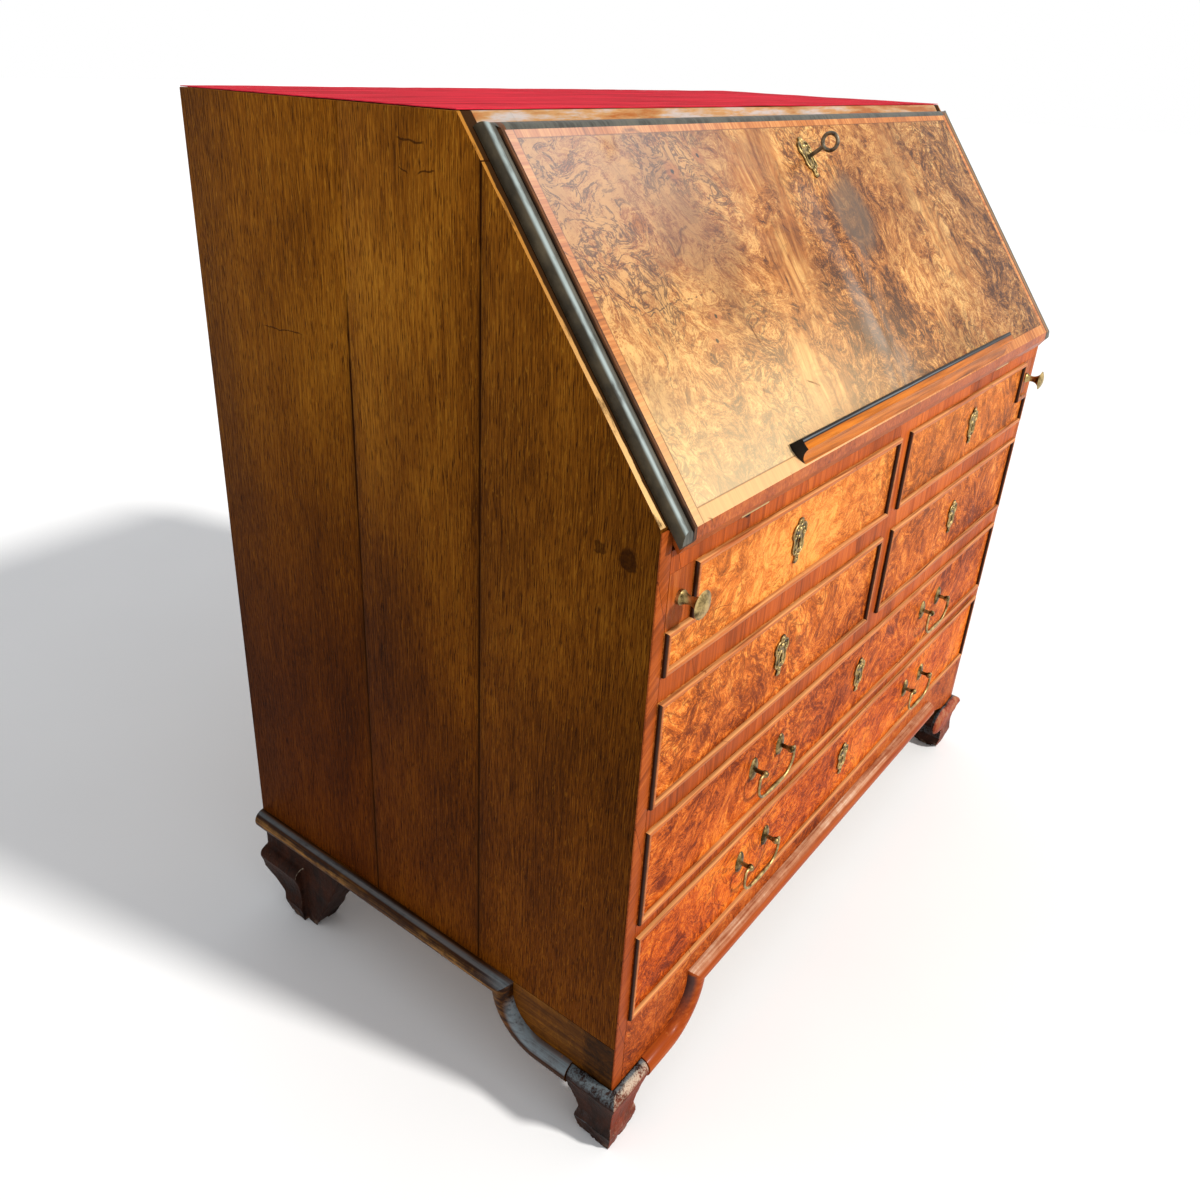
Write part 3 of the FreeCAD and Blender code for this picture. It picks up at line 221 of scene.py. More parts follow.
class BureauColours(bpy.types.PropertyGroup):
    """Colours of the finishes, as linear values."""

    oak_dark: colour_property("Oak, dark", "Pores and old wax of the sides", (0.03, 0.008, 0.0008))
    oak_mid: colour_property("Oak, middle", "Middle tone of the sides", (0.165, 0.052, 0.0032))
    oak_light: colour_property("Oak, light", "Light streaks of the sides", (0.32, 0.132, 0.011))
    inner_dark: colour_property("Inner oak, dark", "Pores of the inside woods", (0.13, 0.062, 0.022))
    inner_mid: colour_property("Inner oak, middle", "Middle tone of the inside woods", (0.29, 0.16, 0.065))
    inner_light: colour_property("Inner oak, light", "Light tone of the inside woods", (0.44, 0.27, 0.12))
    burr_dark: colour_property("Burr, dark", "Eyes and dark curls of the burr", (0.13, 0.02, 0.003))
    burr_mid: colour_property("Burr, middle", "Middle tone of the burr", (0.52, 0.115, 0.012))
    burr_light: colour_property("Burr, light", "Light curls of the burr", (0.8, 0.32, 0.065))
    fall_dark: colour_property("Fall, dark", "Dark curls of the fall", (0.075, 0.018, 0.003))
    fall_mid: colour_property("Fall, middle", "Middle tone of the fall", (0.47, 0.148, 0.023))
    fall_light: colour_property("Fall, light", "Pale streaks of the fall", (0.84, 0.42, 0.108))
    walnut_dark: colour_property("Walnut, dark", "Dark streaks of the straight walnut", (0.1, 0.018, 0.003))
    walnut_mid: colour_property("Walnut, middle", "Middle tone of the straight walnut", (0.33, 0.068, 0.01))
    walnut_light: colour_property("Walnut, light", "Light streaks of the straight walnut", (0.54, 0.16, 0.03))
    lip_dark: colour_property("Lip, dark", "Old polish on the fall's edge mouldings", (0.03, 0.024, 0.015))
    lip_light: colour_property("Lip, light", "Worn wood of the fall's edge mouldings", (0.11, 0.085, 0.05))
    foot_dark: colour_property("Foot, dark", "Old stain on the feet", (0.009, 0.005, 0.004))
    foot_light: colour_property("Foot, light", "Worn red stain on the feet", (0.045, 0.014, 0.007))
    # The two reds of the cloth are the ends of its painted sheen: deep between the streaks, bright along
    # them.
    cloth_deep: colour_property("Cloth, deep", "Red of the cloth in its folds", (0.27, 0.004, 0.01))
    cloth_bright: colour_property("Cloth, bright", "Red of the cloth along its threads", (0.7, 0.03, 0.055))
    brass_dark: colour_property("Brass, dark", "Tarnish in the brass", (0.045, 0.028, 0.009))
    brass_light: colour_property("Brass, light", "Rubbed brass", (0.54, 0.39, 0.16))
    iron_dark: colour_property("Iron, dark", "Old iron", (0.05, 0.044, 0.038))
    iron_light: colour_property("Iron, light", "Rubbed iron", (0.34, 0.29, 0.2))


class Amount:
    """A shader socket that takes part in sums."""

    def __init__(self, finish, socket):
        self.finish = finish
        self.socket = socket

    def _sum(self, operation, first, second):
        return self.finish.node("ShaderNodeMath", {"operation": operation}, {0: first, 1: second})

    def __add__(self, other):
        return self._sum("ADD", self, other)

    def __radd__(self, other):
        return self._sum("ADD", other, self)

    def __sub__(self, other):
        return self._sum("SUBTRACT", self, other)

    def __rsub__(self, other):
        return self._sum("SUBTRACT", other, self)

    def __mul__(self, other):
        return self._sum("MULTIPLY", self, other)

    def __rmul__(self, other):
        return self._sum("MULTIPLY", other, self)

    def __truediv__(self, other):
        return self._sum("DIVIDE", self, other)

    def __abs__(self):
        return self._sum("ABSOLUTE", self, 0)

    def floor(self):
        """The whole steps of an amount."""
        return self._sum("FLOOR", self, 0)

    def fract(self):
        """What an amount has past its whole steps."""
        return self._sum("FRACT", self, 0)

    def most(self, other):
        """The larger of two amounts."""
        return self._sum("MAXIMUM", self, other)

    def rise(self, low, high):
        """0 below one value, 1 above the other and a smooth rise between them."""
        return self.finish.node(
            "ShaderNodeMapRange",
            {"interpolation_type": "SMOOTHSTEP"},
            {"Value": self, "From Min": low, "From Max": high},
        )

    def fall(self, low, high):
        """1 below one value, 0 above the other and a smooth fall between them."""
        return 1 - self.rise(low, high)

    def near(self, place, inner, outer):
        """1 near a value, 0 away from it and a smooth fall between two distances."""
        return abs(self - place).fall(inner, outer)


class Finish:
    """A material that is written as sums of its sockets."""

    def __init__(self, name):
        self.material = bpy.data.materials.new(name)
        self.material.use_nodes = True
        self.tree = self.material.node_tree
        self.surface = self.tree.nodes["Principled BSDF"]
        self.at = self.node("ShaderNodeTexCoord", out="Object")
        self.x, self.y, self.z = [self.part(self.at, axis) for axis in "XYZ"]

    @property
    def depth(self):
        """Distance behind the plane of the drawer rails."""
        return self.y - FRONT

    def node(self, kind, settings=None, sockets=None, out=0):
        """Any node by its type, settings and the values or links of its sockets."""
        made = self.tree.nodes.new(kind)
        for name, value in (settings or {}).items():
            if name == "stops":
                while len(made.color_ramp.elements) < len(value):
                    made.color_ramp.elements.new(OPAQUE)
                for element, (place, colour) in zip(made.color_ramp.elements, value):
                    element.position = place
                    element.color = (*colour, OPAQUE)
            else:
                setattr(made, name, value)
        for name, value in (sockets or {}).items():
            if isinstance(value, Amount):
                self.tree.links.new(value.socket, made.inputs[name])
            else:
                made.inputs[name].default_value = value
        return Amount(self, made.outputs[out])

    def part(self, vector, axis):
        """One of the three numbers of a vector."""
        return self.node("ShaderNodeSeparateXYZ", None, {0: vector}, axis)

    def stretched(self, scale, at=None, turn=(0, 0, 0)):
        """Object coordinates, turned and then multiplied along each axis."""
        divided = tuple(1 / value for value in scale)
        return self.node(
            "ShaderNodeMapping",
            {"vector_type": "TEXTURE"},
            {"Vector": at or self.at, "Rotation": turn, "Scale": divided},
        )

    def noise(self, at, scale=1.0, detail=3.0, rough=0.55, bend=0.0, out="Fac"):
        """Soft cloudy amounts about one half."""
        return self.node(
            "ShaderNodeTexNoise",
            None,
            {"Vector": at, "Scale": scale, "Detail": detail, "Roughness": rough, "Distortion": bend},
            out,
        )

    def scuffs(self, scale):
        """Soft scuffs that vary the polish."""
        return self.noise(self.at, scale, 4.0, 0.6)

    def streaks(self, scale, detail=3.0, rough=0.55, at=None, turn=(0, 0, 0)):
        """Noise that is drawn out along the small numbers of a scale."""
        return self.noise(self.stretched(scale, at, turn), 1.0, detail, rough)

    def vector(self, operation, first, second, out="Vector", by=1):
        """A sum of two vectors, or of a vector and the amount that scales it."""
        return self.node("ShaderNodeVectorMath", {"operation": operation}, {0: first, by: second}, out)

    def pushed(self, at, scale, reach):
        """Coordinates that a soft noise pushes about."""
        cloud = self.noise(at, scale, 2.0, out="Color")
        centred = self.vector("SUBTRACT", cloud, (0.5, 0.5, 0.5))
        return self.vector("ADD", at, self.vector("SCALE", centred, reach, by="Scale"))

    def far(self, at, point):
        """Distance of the surface from a point."""
        return self.vector("DISTANCE", at, point, "Value")

    def beside(self, at, first, second):
        """Distance of the surface from a straight line between two points."""
        first = Vector(first)
        run = Vector(second) - first
        away = self.vector("SUBTRACT", at, first)
        reach = self.vector("DOT_PRODUCT", away, run, "Value")
        share = self.node("ShaderNodeClamp", None, {"Value": reach / run.length_squared})
        return self.far(away, self.vector("SCALE", run, share, by="Scale"))

    def facing(self, axis):
        """How far the surface faces along an axis of the piece."""
        return self.part(self.node("ShaderNodeTexCoord", out="Normal"), axis)

    def up_slope(self):
        """Distance up the slope of the fall from its foot."""
        foot = FRONT * UP_SLOPE[1] + SLOPE_FOOT * UP_SLOPE[2]
        return self.vector("DOT_PRODUCT", self.at, UP_SLOPE, "Value") - foot

    def cracks(self, at, scale, width):
        """Thin lines between the cells of a net."""
        sockets = {"Vector": at, "Scale": scale}
        return self.node("ShaderNodeTexVoronoi", {"feature": "DISTANCE_TO_EDGE"}, sockets).fall(0.0, width)

    def lengths(self, place):
        """A tone of its own for each whole step of a place, and how near the surface is to a step's end."""
        own = self.node("ShaderNodeTexWhiteNoise", {"noise_dimensions": "1D"}, {"W": place.floor()}, "Value")
        return own, abs(place.fract() - 0.5)

    def ramp(self, amount, *stops):
        """A colour by amount."""
        return self.node("ShaderNodeValToRGB", {"stops": stops}, {"Fac": amount})

    def tones(self, amount, wood, *places):
        """The dark, middle and light tone of a wood by amount."""
        names = [wood + "_" + tone for tone in ("dark", "mid", "light")]
        return self.ramp(amount, *[(place, getattr(tints(), name)) for place, name in zip(places, names)])

    def mixed(self, way, share, first, second):
        """Two colours mixed in one of the ways of the mix node."""
        sides = [value if isinstance(value, Amount) else (*value, OPAQUE) for value in (first, second)]
        settings = {"data_type": "RGBA", "blend_type": way}
        return self.node("ShaderNodeMix", settings, {0: share, 6: sides[0], 7: sides[1]}, 2)

    def blend(self, share, first, second):
        """From one colour to another; a plain colour is three numbers."""
        return self.mixed("MIX", share, first, second)

    def painted(self, colour, *layers):
        """A colour with others laid over it in order, each by its share."""
        for share, over in layers:
            colour = self.blend(share, colour, over)
        return colour

    def stain(self, share, colour, by):
        """A colour multiplied by a share of another one."""
        return self.mixed("MULTIPLY", share, colour, by)

    def shade(self, colour, amount):
        """A colour multiplied by an amount."""
        grey = self.node("ShaderNodeCombineColor", None, {0: amount, 1: amount, 2: amount})
        return self.stain(1.0, colour, grey)

    def close(self, colour, roughness, height=None, depth=0.0006, strength=0.6, coat=None, **plain):
        """Link what varies to the surface and set what doesn't."""
        links = {"Base Color": colour, "Roughness": roughness, "Coat Weight": coat}
        if height is not None:
            links["Normal"] = self.node(
                "ShaderNodeBump", None, {"Strength": strength, "Distance": depth, "Height": height}, "Normal"
            )
        for name, value in links.items():
            if isinstance(value, Amount):
                self.tree.links.new(value.socket, self.surface.inputs[name])
            elif value is not None:
                self.surface.inputs[name].default_value = value
        for name, value in plain.items():
            self.surface.inputs[name.replace("_", " ")].default_value = value
        return self.material


def tints():
    """The colours of the scene's property group."""
    return bpy.context.scene.bureau_colours


def sizes():
    """The lengths of the scene's property group."""
    return bpy.context.scene.bureau_sizes


def grain(finish, scale, turn=(0, 0, 0), wander=0.012):
    """Streaks, pores and broad tone of straight wood; the small number of scale lies along the grain."""
    swayed = finish.pushed(finish.at, 3.0, wander)
    thin, wide = [tuple(value * share for value in scale) for share in (PORE_SHARE, BROAD_SHARE)]
    fine = finish.streaks(scale, 5.0, 0.62, swayed, turn)
    pores = finish.streaks(thin, 2.0, 0.5, swayed, turn).rise(0.56, 0.72)
    broad = finish.streaks(wide, 3.0, 0.5, swayed, turn)
    return fine, pores, broad


def wood(name, kind, scale, roughness=0.6, gloss=0.2):
    """Plain straight-grained wood of a kind that has three tones."""
    finish = Finish(name)
    fine, pores, broad = grain(finish, scale)
    colour = finish.tones(fine * 0.62 + broad * 0.5 - 0.06, kind, 0.28, 0.5, 0.74)
    colour = finish.blend(pores * 0.55, colour, getattr(tints(), kind + "_dark"))
    rough = roughness + finish.scuffs(26.0) * 0.22 - 0.1
    return finish.close(colour, rough, fine * 0.6 - pores * 0.5, Specular_IOR_Level=gloss)


def back_finish():
    """The back: unpolished upright boards, each of its own tone, with open joints and dust."""
    c = tints()
    finish = Finish("back_oak")
    low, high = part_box("back_boards")
    own, end = finish.lengths((finish.x - low.x) * (BACK_BOARDS / (high.x - low.x)))
    shifted = finish.node("ShaderNodeCombineXYZ", None, {0: finish.x, 1: finish.y, 2: finish.z + own * 3})
    swayed = finish.pushed(shifted, 3.0, 0.03)
    fine = finish.streaks((190.0, 190.0, 5.0), 6.0, 0.66, swayed)
    flame = finish.streaks((24.0, 24.0, 1.2), 4.0, 0.55, swayed)
    pores = finish.streaks((800.0, 800.0, 26.0), 2.0, 0.55, swayed).rise(0.56, 0.72)
    colour = finish.tones(fine * 0.7 + flame * 0.5 + own * 0.14 - 0.19, "inner", 0.3, 0.48, 0.72)
    colour = finish.blend(pores * 0.5, colour, c.inner_dark)
    dust = finish.noise(finish.at, 6.0, 5.0, 0.65).rise(0.42, 0.7)
    colour = finish.stain(dust * 0.7, colour, DUSTY)
    joint = end.rise(0.4925, 0.4985)
    colour = finish.blend(joint * 0.9, colour, JOINT_BLACK)
    return finish.close(colour, 0.62 + dust * 0.2, fine * 0.6 - pores * 0.4 - joint, Specular_IOR_Level=0.15)


def oak_figure(finish):
    """Colour and height of the old oak: short dark pores, small flecks and uneven wax."""
    c = tints()
    swayed = finish.pushed(finish.at, 3.0, 0.016)
    fine = finish.streaks((900.0, 900.0, 24.0), 5.0, 0.65, swayed)
    dashes = finish.streaks((1300.0, 1300.0, 75.0), 2.0, 0.5, swayed).rise(0.54, 0.68)
    stripes = finish.streaks((70.0, 70.0, 1.6), 3.0, 0.5, swayed)
    flecks = finish.streaks((500.0, 500.0, 90.0), 2.0).rise(0.6, 0.72)
    cloud = finish.streaks((7.0, 7.0, 3.5), 4.0, 0.6)
    colour = finish.tones(fine * 0.8 + stripes * 0.12 + cloud * 0.42 - 0.17, "oak", 0.3, 0.5, 0.72)
    colour = finish.blend(flecks * 0.5, colour, c.oak_light)
    colour = finish.blend(dashes * 0.9, colour, c.oak_dark)
    return colour, fine * 0.5 - dashes * 0.5, cloud


def side_lines(finish):
    """The dark glue lines between the boards of a side, with a worn halo."""
    sway = (finish.noise(finish.at, 7.0, 2.0) - 0.5) * 0.006
    worn = finish.streaks((30.0, 30.0, 14.0), 2.0).rise(0.3, 0.55)
    lines = []
    for place, top in SIDE_JOINTS:
        line = finish.depth.near(place, 0.0006, 0.002) * finish.z.fall(top - 0.06, top) * (0.5 + worn * 0.5)
        halo = (finish.depth + sway).near(place, 0.001, 0.012) * 0.4 * finish.z.fall(top - 0.1, top)
        lines.append(line + halo * worn)
    return lines[0].most(lines[1])


def side_marks(finish):
    """Knots and short dark splits, which only the left side has."""
    swirl = finish.pushed(finish.at, 90.0, 0.014)
    knots = finish.x * 0
    for depth, height, inner, outer, share in SIDE_KNOTS:
        knots = knots.most(finish.far(swirl, (-HALF_WIDTH, FRONT + depth, height)).fall(inner, outer) * share)
    marks = knots * (0.5 + finish.noise(finish.at, 300.0, 3.0) * 0.8)
    wobble = (finish.noise(finish.at, 90.0, 2.0) - 0.5) * 0.006
    for depth, height, length, width, lean in SIDE_SPLITS:
        run = finish.depth - depth
        split = (finish.z - run * lean + wobble).near(height, width * 0.5, width)
        marks = marks.most(split * abs(run).fall(length * 0.7, length) * 0.75)
    return marks * finish.x.fall(-0.1, 0.1)


def oak_side():
    """The sides: upright oak boards with dark glue lines, knots, splits and a foot darkened partly by grime
    and partly by painted shade, with painted light towards the top.
    """
    c = tints()
    finish = Finish("oak_side")
    colour, height, cloud = oak_figure(finish)
    lines = side_lines(finish)
    marks = side_marks(finish)
    grime = abs(finish.depth - 0.3).rise(0.2, 0.31) * 0.16
    # Lighter towards the top as painted light; darker at the front and back edges and in cloudy patches.
    colour = finish.shade(colour, 0.92 + finish.z.rise(0.6, 1.1) * 0.5 + (cloud - 0.5) * 0.6 - grime)
    aged = finish.z.fall(0.3, 1.05) * finish.depth.rise(0.02, 0.4)
    colour = finish.stain(aged, colour, OAK_AGED)
    # Darker and redder towards the foot, partly grime and partly painted shade.
    colour = finish.stain(finish.z.fall(0.2, 0.95), colour, OAK_LOW_GRIME_AND_SHADE)
    colour = finish.blend((lines * 0.92).most(marks), colour, c.oak_dark)
    chipped = finish.streaks((60.0, 22.0, 22.0), 5.0, 0.65)
    low = finish.z.fall(0.74, 0.98)
    inner = HALF_WIDTH - 0.0035 - low * 0.0035 + (chipped - 0.5) * 0.006
    rubbed = (abs(finish.x) - inner).rise(-0.0006, 0.0006) * chipped.rise(0.3, 0.46)
    # The rubbed arris of the sloped edge grows paler towards the bottom, a painted highlight on real wear.
    gold = finish.blend(low, GOLD_BROWN, PALE_GOLD_HIGHLIGHT)
    sloped = finish.facing("Z").rise(0.3, 0.5)
    colour = finish.blend(sloped, colour, finish.blend(rubbed, DEEP_BROWN, gold))
    height = height - lines * 1.2 - marks
    return finish.close(colour, 0.52 + (cloud - 0.5) * 0.3, height, Specular_IOR_Level=0.015)


def curled(finish, size):
    """The figure of a burr: fine dark curls about scattered eyes, by how far the leaf is enlarged."""
    big = finish.pushed(finish.at, 5.0 / size, 0.11 * size)
    small = finish.pushed(big, 24.0 / size, 0.03 * size)
    curls = finish.noise(small, 60.0 / size, 10.0, 0.74, 1.4)
    veins = finish.noise(small, 44.0 / size, 6.0, 0.66, 1.6).near(0.5, 0.004, 0.045)
    eyes = finish.node("ShaderNodeTexVoronoi", None, {"Vector": small, "Scale": 75.0 / size}, "Distance")
    crowd = finish.noise(finish.at, 11.0 / size, 3.0).rise(0.46, 0.58)
    spots = eyes.fall(0.08, 0.2) * crowd * 0.8
    threads = finish.noise(finish.stretched(BURR_THREADS, small), 1.0, 3.0, 0.65, 0.8)
    broad = finish.noise(big, 5.0 / size, 4.0, 0.6)
    gleams = finish.noise(small, 52.0 / size, 6.0, 0.68, 2.0).near(0.47, 0.0, 0.05)
    tone = curls + broad * 1.05 + threads * 0.5 + gleams * 0.14 - 0.85
    return tone, spots.most(veins * (0.25 + crowd * 0.6)), curls, broad, threads


def burr_fronts():
    """The drawer fronts: burr veneer, with straight walnut on the bead that stands proud of it; the bead
    carries painted shade, a painted shadow on its side flanks and a painted highlight where it faces up.
    """
    c = tints()
    finish = Finish("burr_fronts")
    tone, spots, curls, broad, threads = curled(finish, 1.7)
    high = finish.z.rise(0.45, 0.75)
    colour = finish.tones(tone, "burr", 0.26, 0.46, 0.68)
    colour = finish.painted(colour, (spots * 0.85, c.burr_dark), (high * 0.1, c.fall_light))
    colour = finish.shade(colour, 0.9 + broad * 0.2)
    colour = finish.stain(finish.z.fall(0.2, 0.6), colour, BURR_LOW)
    fine, _, wide = grain(finish, (7.0, 300.0, 300.0))
    bead = finish.tones(fine * 0.7 + wide * 0.4, "walnut", 0.3, 0.52, 0.8)
    proud = finish.depth.fall(-0.0006, -0.0001)
    crown = finish.depth.fall(-0.0049, -0.003)
    upward = finish.facing("Z").rise(0.35, 0.75)
    flank = abs(finish.facing("X")).rise(0.3, 0.7)
    # Painted light on the bead: a painted highlight where it faces up and along its crown, painted shade over
    # the rest, and a painted shadow on its side flanks.
    gleam = (crown * 0.12).most(upward * fine.rise(0.3, 0.6) * 0.6)
    bead = finish.shade(bead, 0.16 + crown * 0.84 + upward * 0.5)
    bead = finish.painted(bead, (gleam, BEAD_GLEAM), (flank * 0.85, BEAD_SHADOW))
    scuffs = finish.scuffs(30.0)
    across = finish.pushed(finish.stretched((4.0, 9.0, 9.0)), 4.0, 0.2)
    cracks = finish.cracks(across, 3.0, 0.012) * scuffs.rise(0.52, 0.64)
    inside = finish.depth.rise(0.0195, 0.0199)
    colour = finish.painted(colour, (proud, bead), (inside, c.inner_light), (cracks * 0.7, c.burr_dark))
    height = curls * 0.3 + threads * 0.25 - cracks
    settings = {"coat": proud * 0.3, "Coat_Roughness": 0.16, "Specular_IOR_Level": 0.03}
    return finish.close(colour, 0.3 + scuffs * 0.3, height, 0.0005, 0.5, **settings)


def banded(name, segment, turn, depth=(1.0, 1.0, 1.0)):
    """Crossbanding: short lengths of veneer, each of its own tone, with the grain across the strip."""
    c = tints()
    finish = Finish(name)
    fine, pores, broad = grain(finish, (300.0, 300.0, 9.0), turn, 0.006)
    own, end = finish.lengths((finish.x + finish.z * 0.35) / segment)
    gap = end.rise(0.4935, 0.499)
    colour = finish.tones(fine * 0.6 + broad * 0.35 + own * 0.14 - 0.06, "walnut", 0.26, 0.5, 0.76)
    colour = finish.painted(colour, (pores * 0.45, c.walnut_dark), (gap * 0.8, c.walnut_dark))
    colour = finish.stain(1.0, colour, depth)
    streaky = finish.streaks((9.0, 60.0, 60.0), 5.0, 0.68)
    # Painted reflection: the upward faces of the top strip are paled in streaks towards grey-white, as the
    # sky mirrored in the polish.
    pale = finish.z.rise(1.0, 1.02) * finish.facing("Z").rise(0.3, 0.6)
    chip = finish.far(finish.pushed(finish.at, 120.0, 0.008), HINGE_CHIP).fall(0.003, 0.006)
    gloss = finish.ramp(streaky, *TOP_REFLECTION_STOPS)
    colour = finish.painted(colour, (pale * 0.75, gloss), (chip * 0.95, CHIP_BLACK))
    colour = finish.stain(finish.z.fall(0.2, 0.6), colour, BAND_LOW)
    return finish.close(colour, 0.34 + finish.scuffs(28.0) * 0.26, fine * 0.5 - gap, Specular_IOR_Level=0.06)


def fall_field(finish, u, painted_glare):
    """The burr leaves of the fall, with pale runs, grey smoke, a stain and a painted glare; their height and
    broad tone.
    """
    c = tints()
    x = finish.x
    tone, spots, curls, broad, threads = curled(finish, 1.6)
    swayed = finish.pushed(finish.at, 6.0, 0.05)
    lean = (SLOPE, 0, math.radians(-13))
    streaks = finish.streaks((120.0, 6.0, 120.0), 5.0, 0.6, swayed, lean)
    wide_streaks = finish.streaks((26.0, 2.6, 26.0), 3.0, 0.5, swayed, lean)
    flow = (finish.noise(finish.at, 9.0, 2.0) - 0.5) * 0.09
    left_run = (x + (0.34 - u) * 0.3 + flow).near(-0.105, 0.02, 0.075)
    right_run = (x - (0.34 - u) * 0.25 + flow).near(0.225, 0.015, 0.06) * 0.8
    runs = left_run.most(right_run) * finish.noise(finish.at, 14.0, 3.0).rise(0.36, 0.6)
    streak_tone = streaks * 0.75 + wide_streaks * 0.75 - 0.2
    field = finish.tones(tone * (1 - runs) + streak_tone * runs, "fall", 0.29, 0.45, 0.64)
    field = finish.blend(spots * (1 - runs * 0.7) * 0.95, field, c.fall_dark)
    smoke = finish.noise(finish.pushed(finish.at, 5.0, 0.14), 6.0, 5.0, 0.62).rise(0.47, 0.66)
    field = finish.stain(smoke * 0.8, field, FALL_SMOKE)
    haze = (x + flow * 1.5).near(-0.02, 0.01, 0.06) * u.fall(0.2, 0.3) * wide_streaks.rise(0.34, 0.6)
    field = finish.stain(1.0, finish.blend(haze * 0.5, field, FALL_HAZE), FALL_COOL)
    field = finish.stain(x.rise(0.12, 0.42), field, FALL_RIGHT)
    field = finish.stain(x.fall(-0.42, 0.05) * u.rise(0.08, 0.26), field, FALL_LEFT)
    stain = finish.far(finish.pushed(finish.at, 14.0, 0.05), FALL_STAIN).fall(0.028, 0.062)
    field = fall_flaws(finish, u, finish.blend(stain * 0.74, field, STAIN_BROWN))
    left_seam, right_seam = [x.near(seam, 0.0002, 0.0009) for seam in LEAF_SEAMS]
    field = finish.painted(field, (left_seam.most(right_seam) * 0.55, c.fall_dark), (painted_glare * 0.55, FIELD_GLARE))
    return field, curls * 0.2 + threads * 0.2, broad


def fall_flaws(finish, u, field):
    """Pin knots and wandering splits in the veneer of the fall."""
    flat = finish.node("ShaderNodeCombineXYZ", None, {0: finish.x, 1: u})
    pins = finish.pushed(flat, 160.0, 0.003)
    for place, size in PIN_KNOTS:
        rim = finish.far(pins, (*place, 0))
        halo = rim.fall(size * 2.2, size * 4.5) * 0.5
        field = finish.painted(field, (halo, PIN_RIM), (rim.fall(size * 0.6, size), PIN_BLACK))
    wavy = finish.pushed(flat, 70.0, 0.009)
    splits = finish.x * 0
    for chain in FALL_SPLITS:
        for first, second in zip(chain, chain[1:]):
            splits = splits.most(finish.beside(wavy, (*first, 0), (*second, 0)).fall(0.0003, 0.0011))
    return finish.blend(splits * 0.85, field, SPLIT_BLACK)


def fall_veneer():
    """The fall: burr leaves parted by pale streaks, inside a crossbanded border, with a painted glare at the
    lower left and a painted reflection of the sky at the upper left.
    """
    c = tints()
    finish = Finish("fall_veneer")
    u = finish.up_slope()
    x = finish.x
    wide = abs(x)
    # Painted glare: the lower left of the fall is paled, over the burr leaves and over the border.
    painted_glare = u.fall(-0.02, 0.2) * x.fall(-0.35, 0.2)
    field, figure, broad = fall_field(finish, u, painted_glare)
    tones = []
    for scale in ((10.0, 300.0, 300.0), (300.0, 10.0, 300.0)):
        band_fine, _, band_broad = grain(finish, scale, (SLOPE, 0, 0), 0.006)
        tones.append(band_fine * 0.7 + band_broad * 0.4)
    beside = wide.rise(FIELD_HALF - SHARP, FIELD_HALF + SHARP)
    beyond = u.rise(FIELD_HEAD - SHARP, FIELD_HEAD + SHARP)
    beyond = beyond.most(u.fall(FIELD_FOOT - SHARP, FIELD_FOOT + SHARP))
    border_tone = tones[1] * (1 - beside) + tones[0] * beside - 0.03
    border = finish.ramp(border_tone, (0.24, c.fall_dark), *BORDER_STOPS)
    border = finish.blend(painted_glare * 0.6, border, BORDER_GLARE)
    across = u.near(FIELD_HEAD, *LINE_WIDTH).most(u.near(FIELD_FOOT, *LINE_WIDTH))
    line = wide.near(FIELD_HALF, *LINE_WIDTH).most(across * wide.fall(FIELD_HALF - MM, FIELD_HALF))
    edge = finish.tones(tones[1], "walnut", 0.3, 0.55, 0.8)
    on_edge = finish.facing("Z").fall(0.2, 0.45) * u.fall(0.04, 0.05)
    scuffs = finish.scuffs(24.0)
    cracks = finish.cracks(finish.pushed(finish.at, 18.0, 0.03), 6.5, 0.011) * scuffs.rise(0.54, 0.66)
    # A patch of extra coat at the upper left, whose colour is also paled to grey as a painted reflection of
    # the sky.
    wax_and_reflection = u.rise(0.12, 0.36) * x.fall(-0.5, 0.05) * (broad + scuffs * 0.6).rise(0.55, 0.9)
    colour = finish.painted(
        field,
        (beside.most(beyond), border),
        (line * 0.5, c.fall_dark),
        (on_edge, edge),
        (cracks * 0.75, c.fall_dark),
        (wax_and_reflection * 0.26, REFLECTION_GREY),
    )
    height = figure - cracks - line * 0.5
    settings = {"coat": 0.04 + wax_and_reflection * 0.8, "Coat_Roughness": 0.2, "Specular_IOR_Level": 0.1}
    return finish.close(colour, 0.26 + scuffs * 0.24, height, 0.0005, 0.45, **settings)


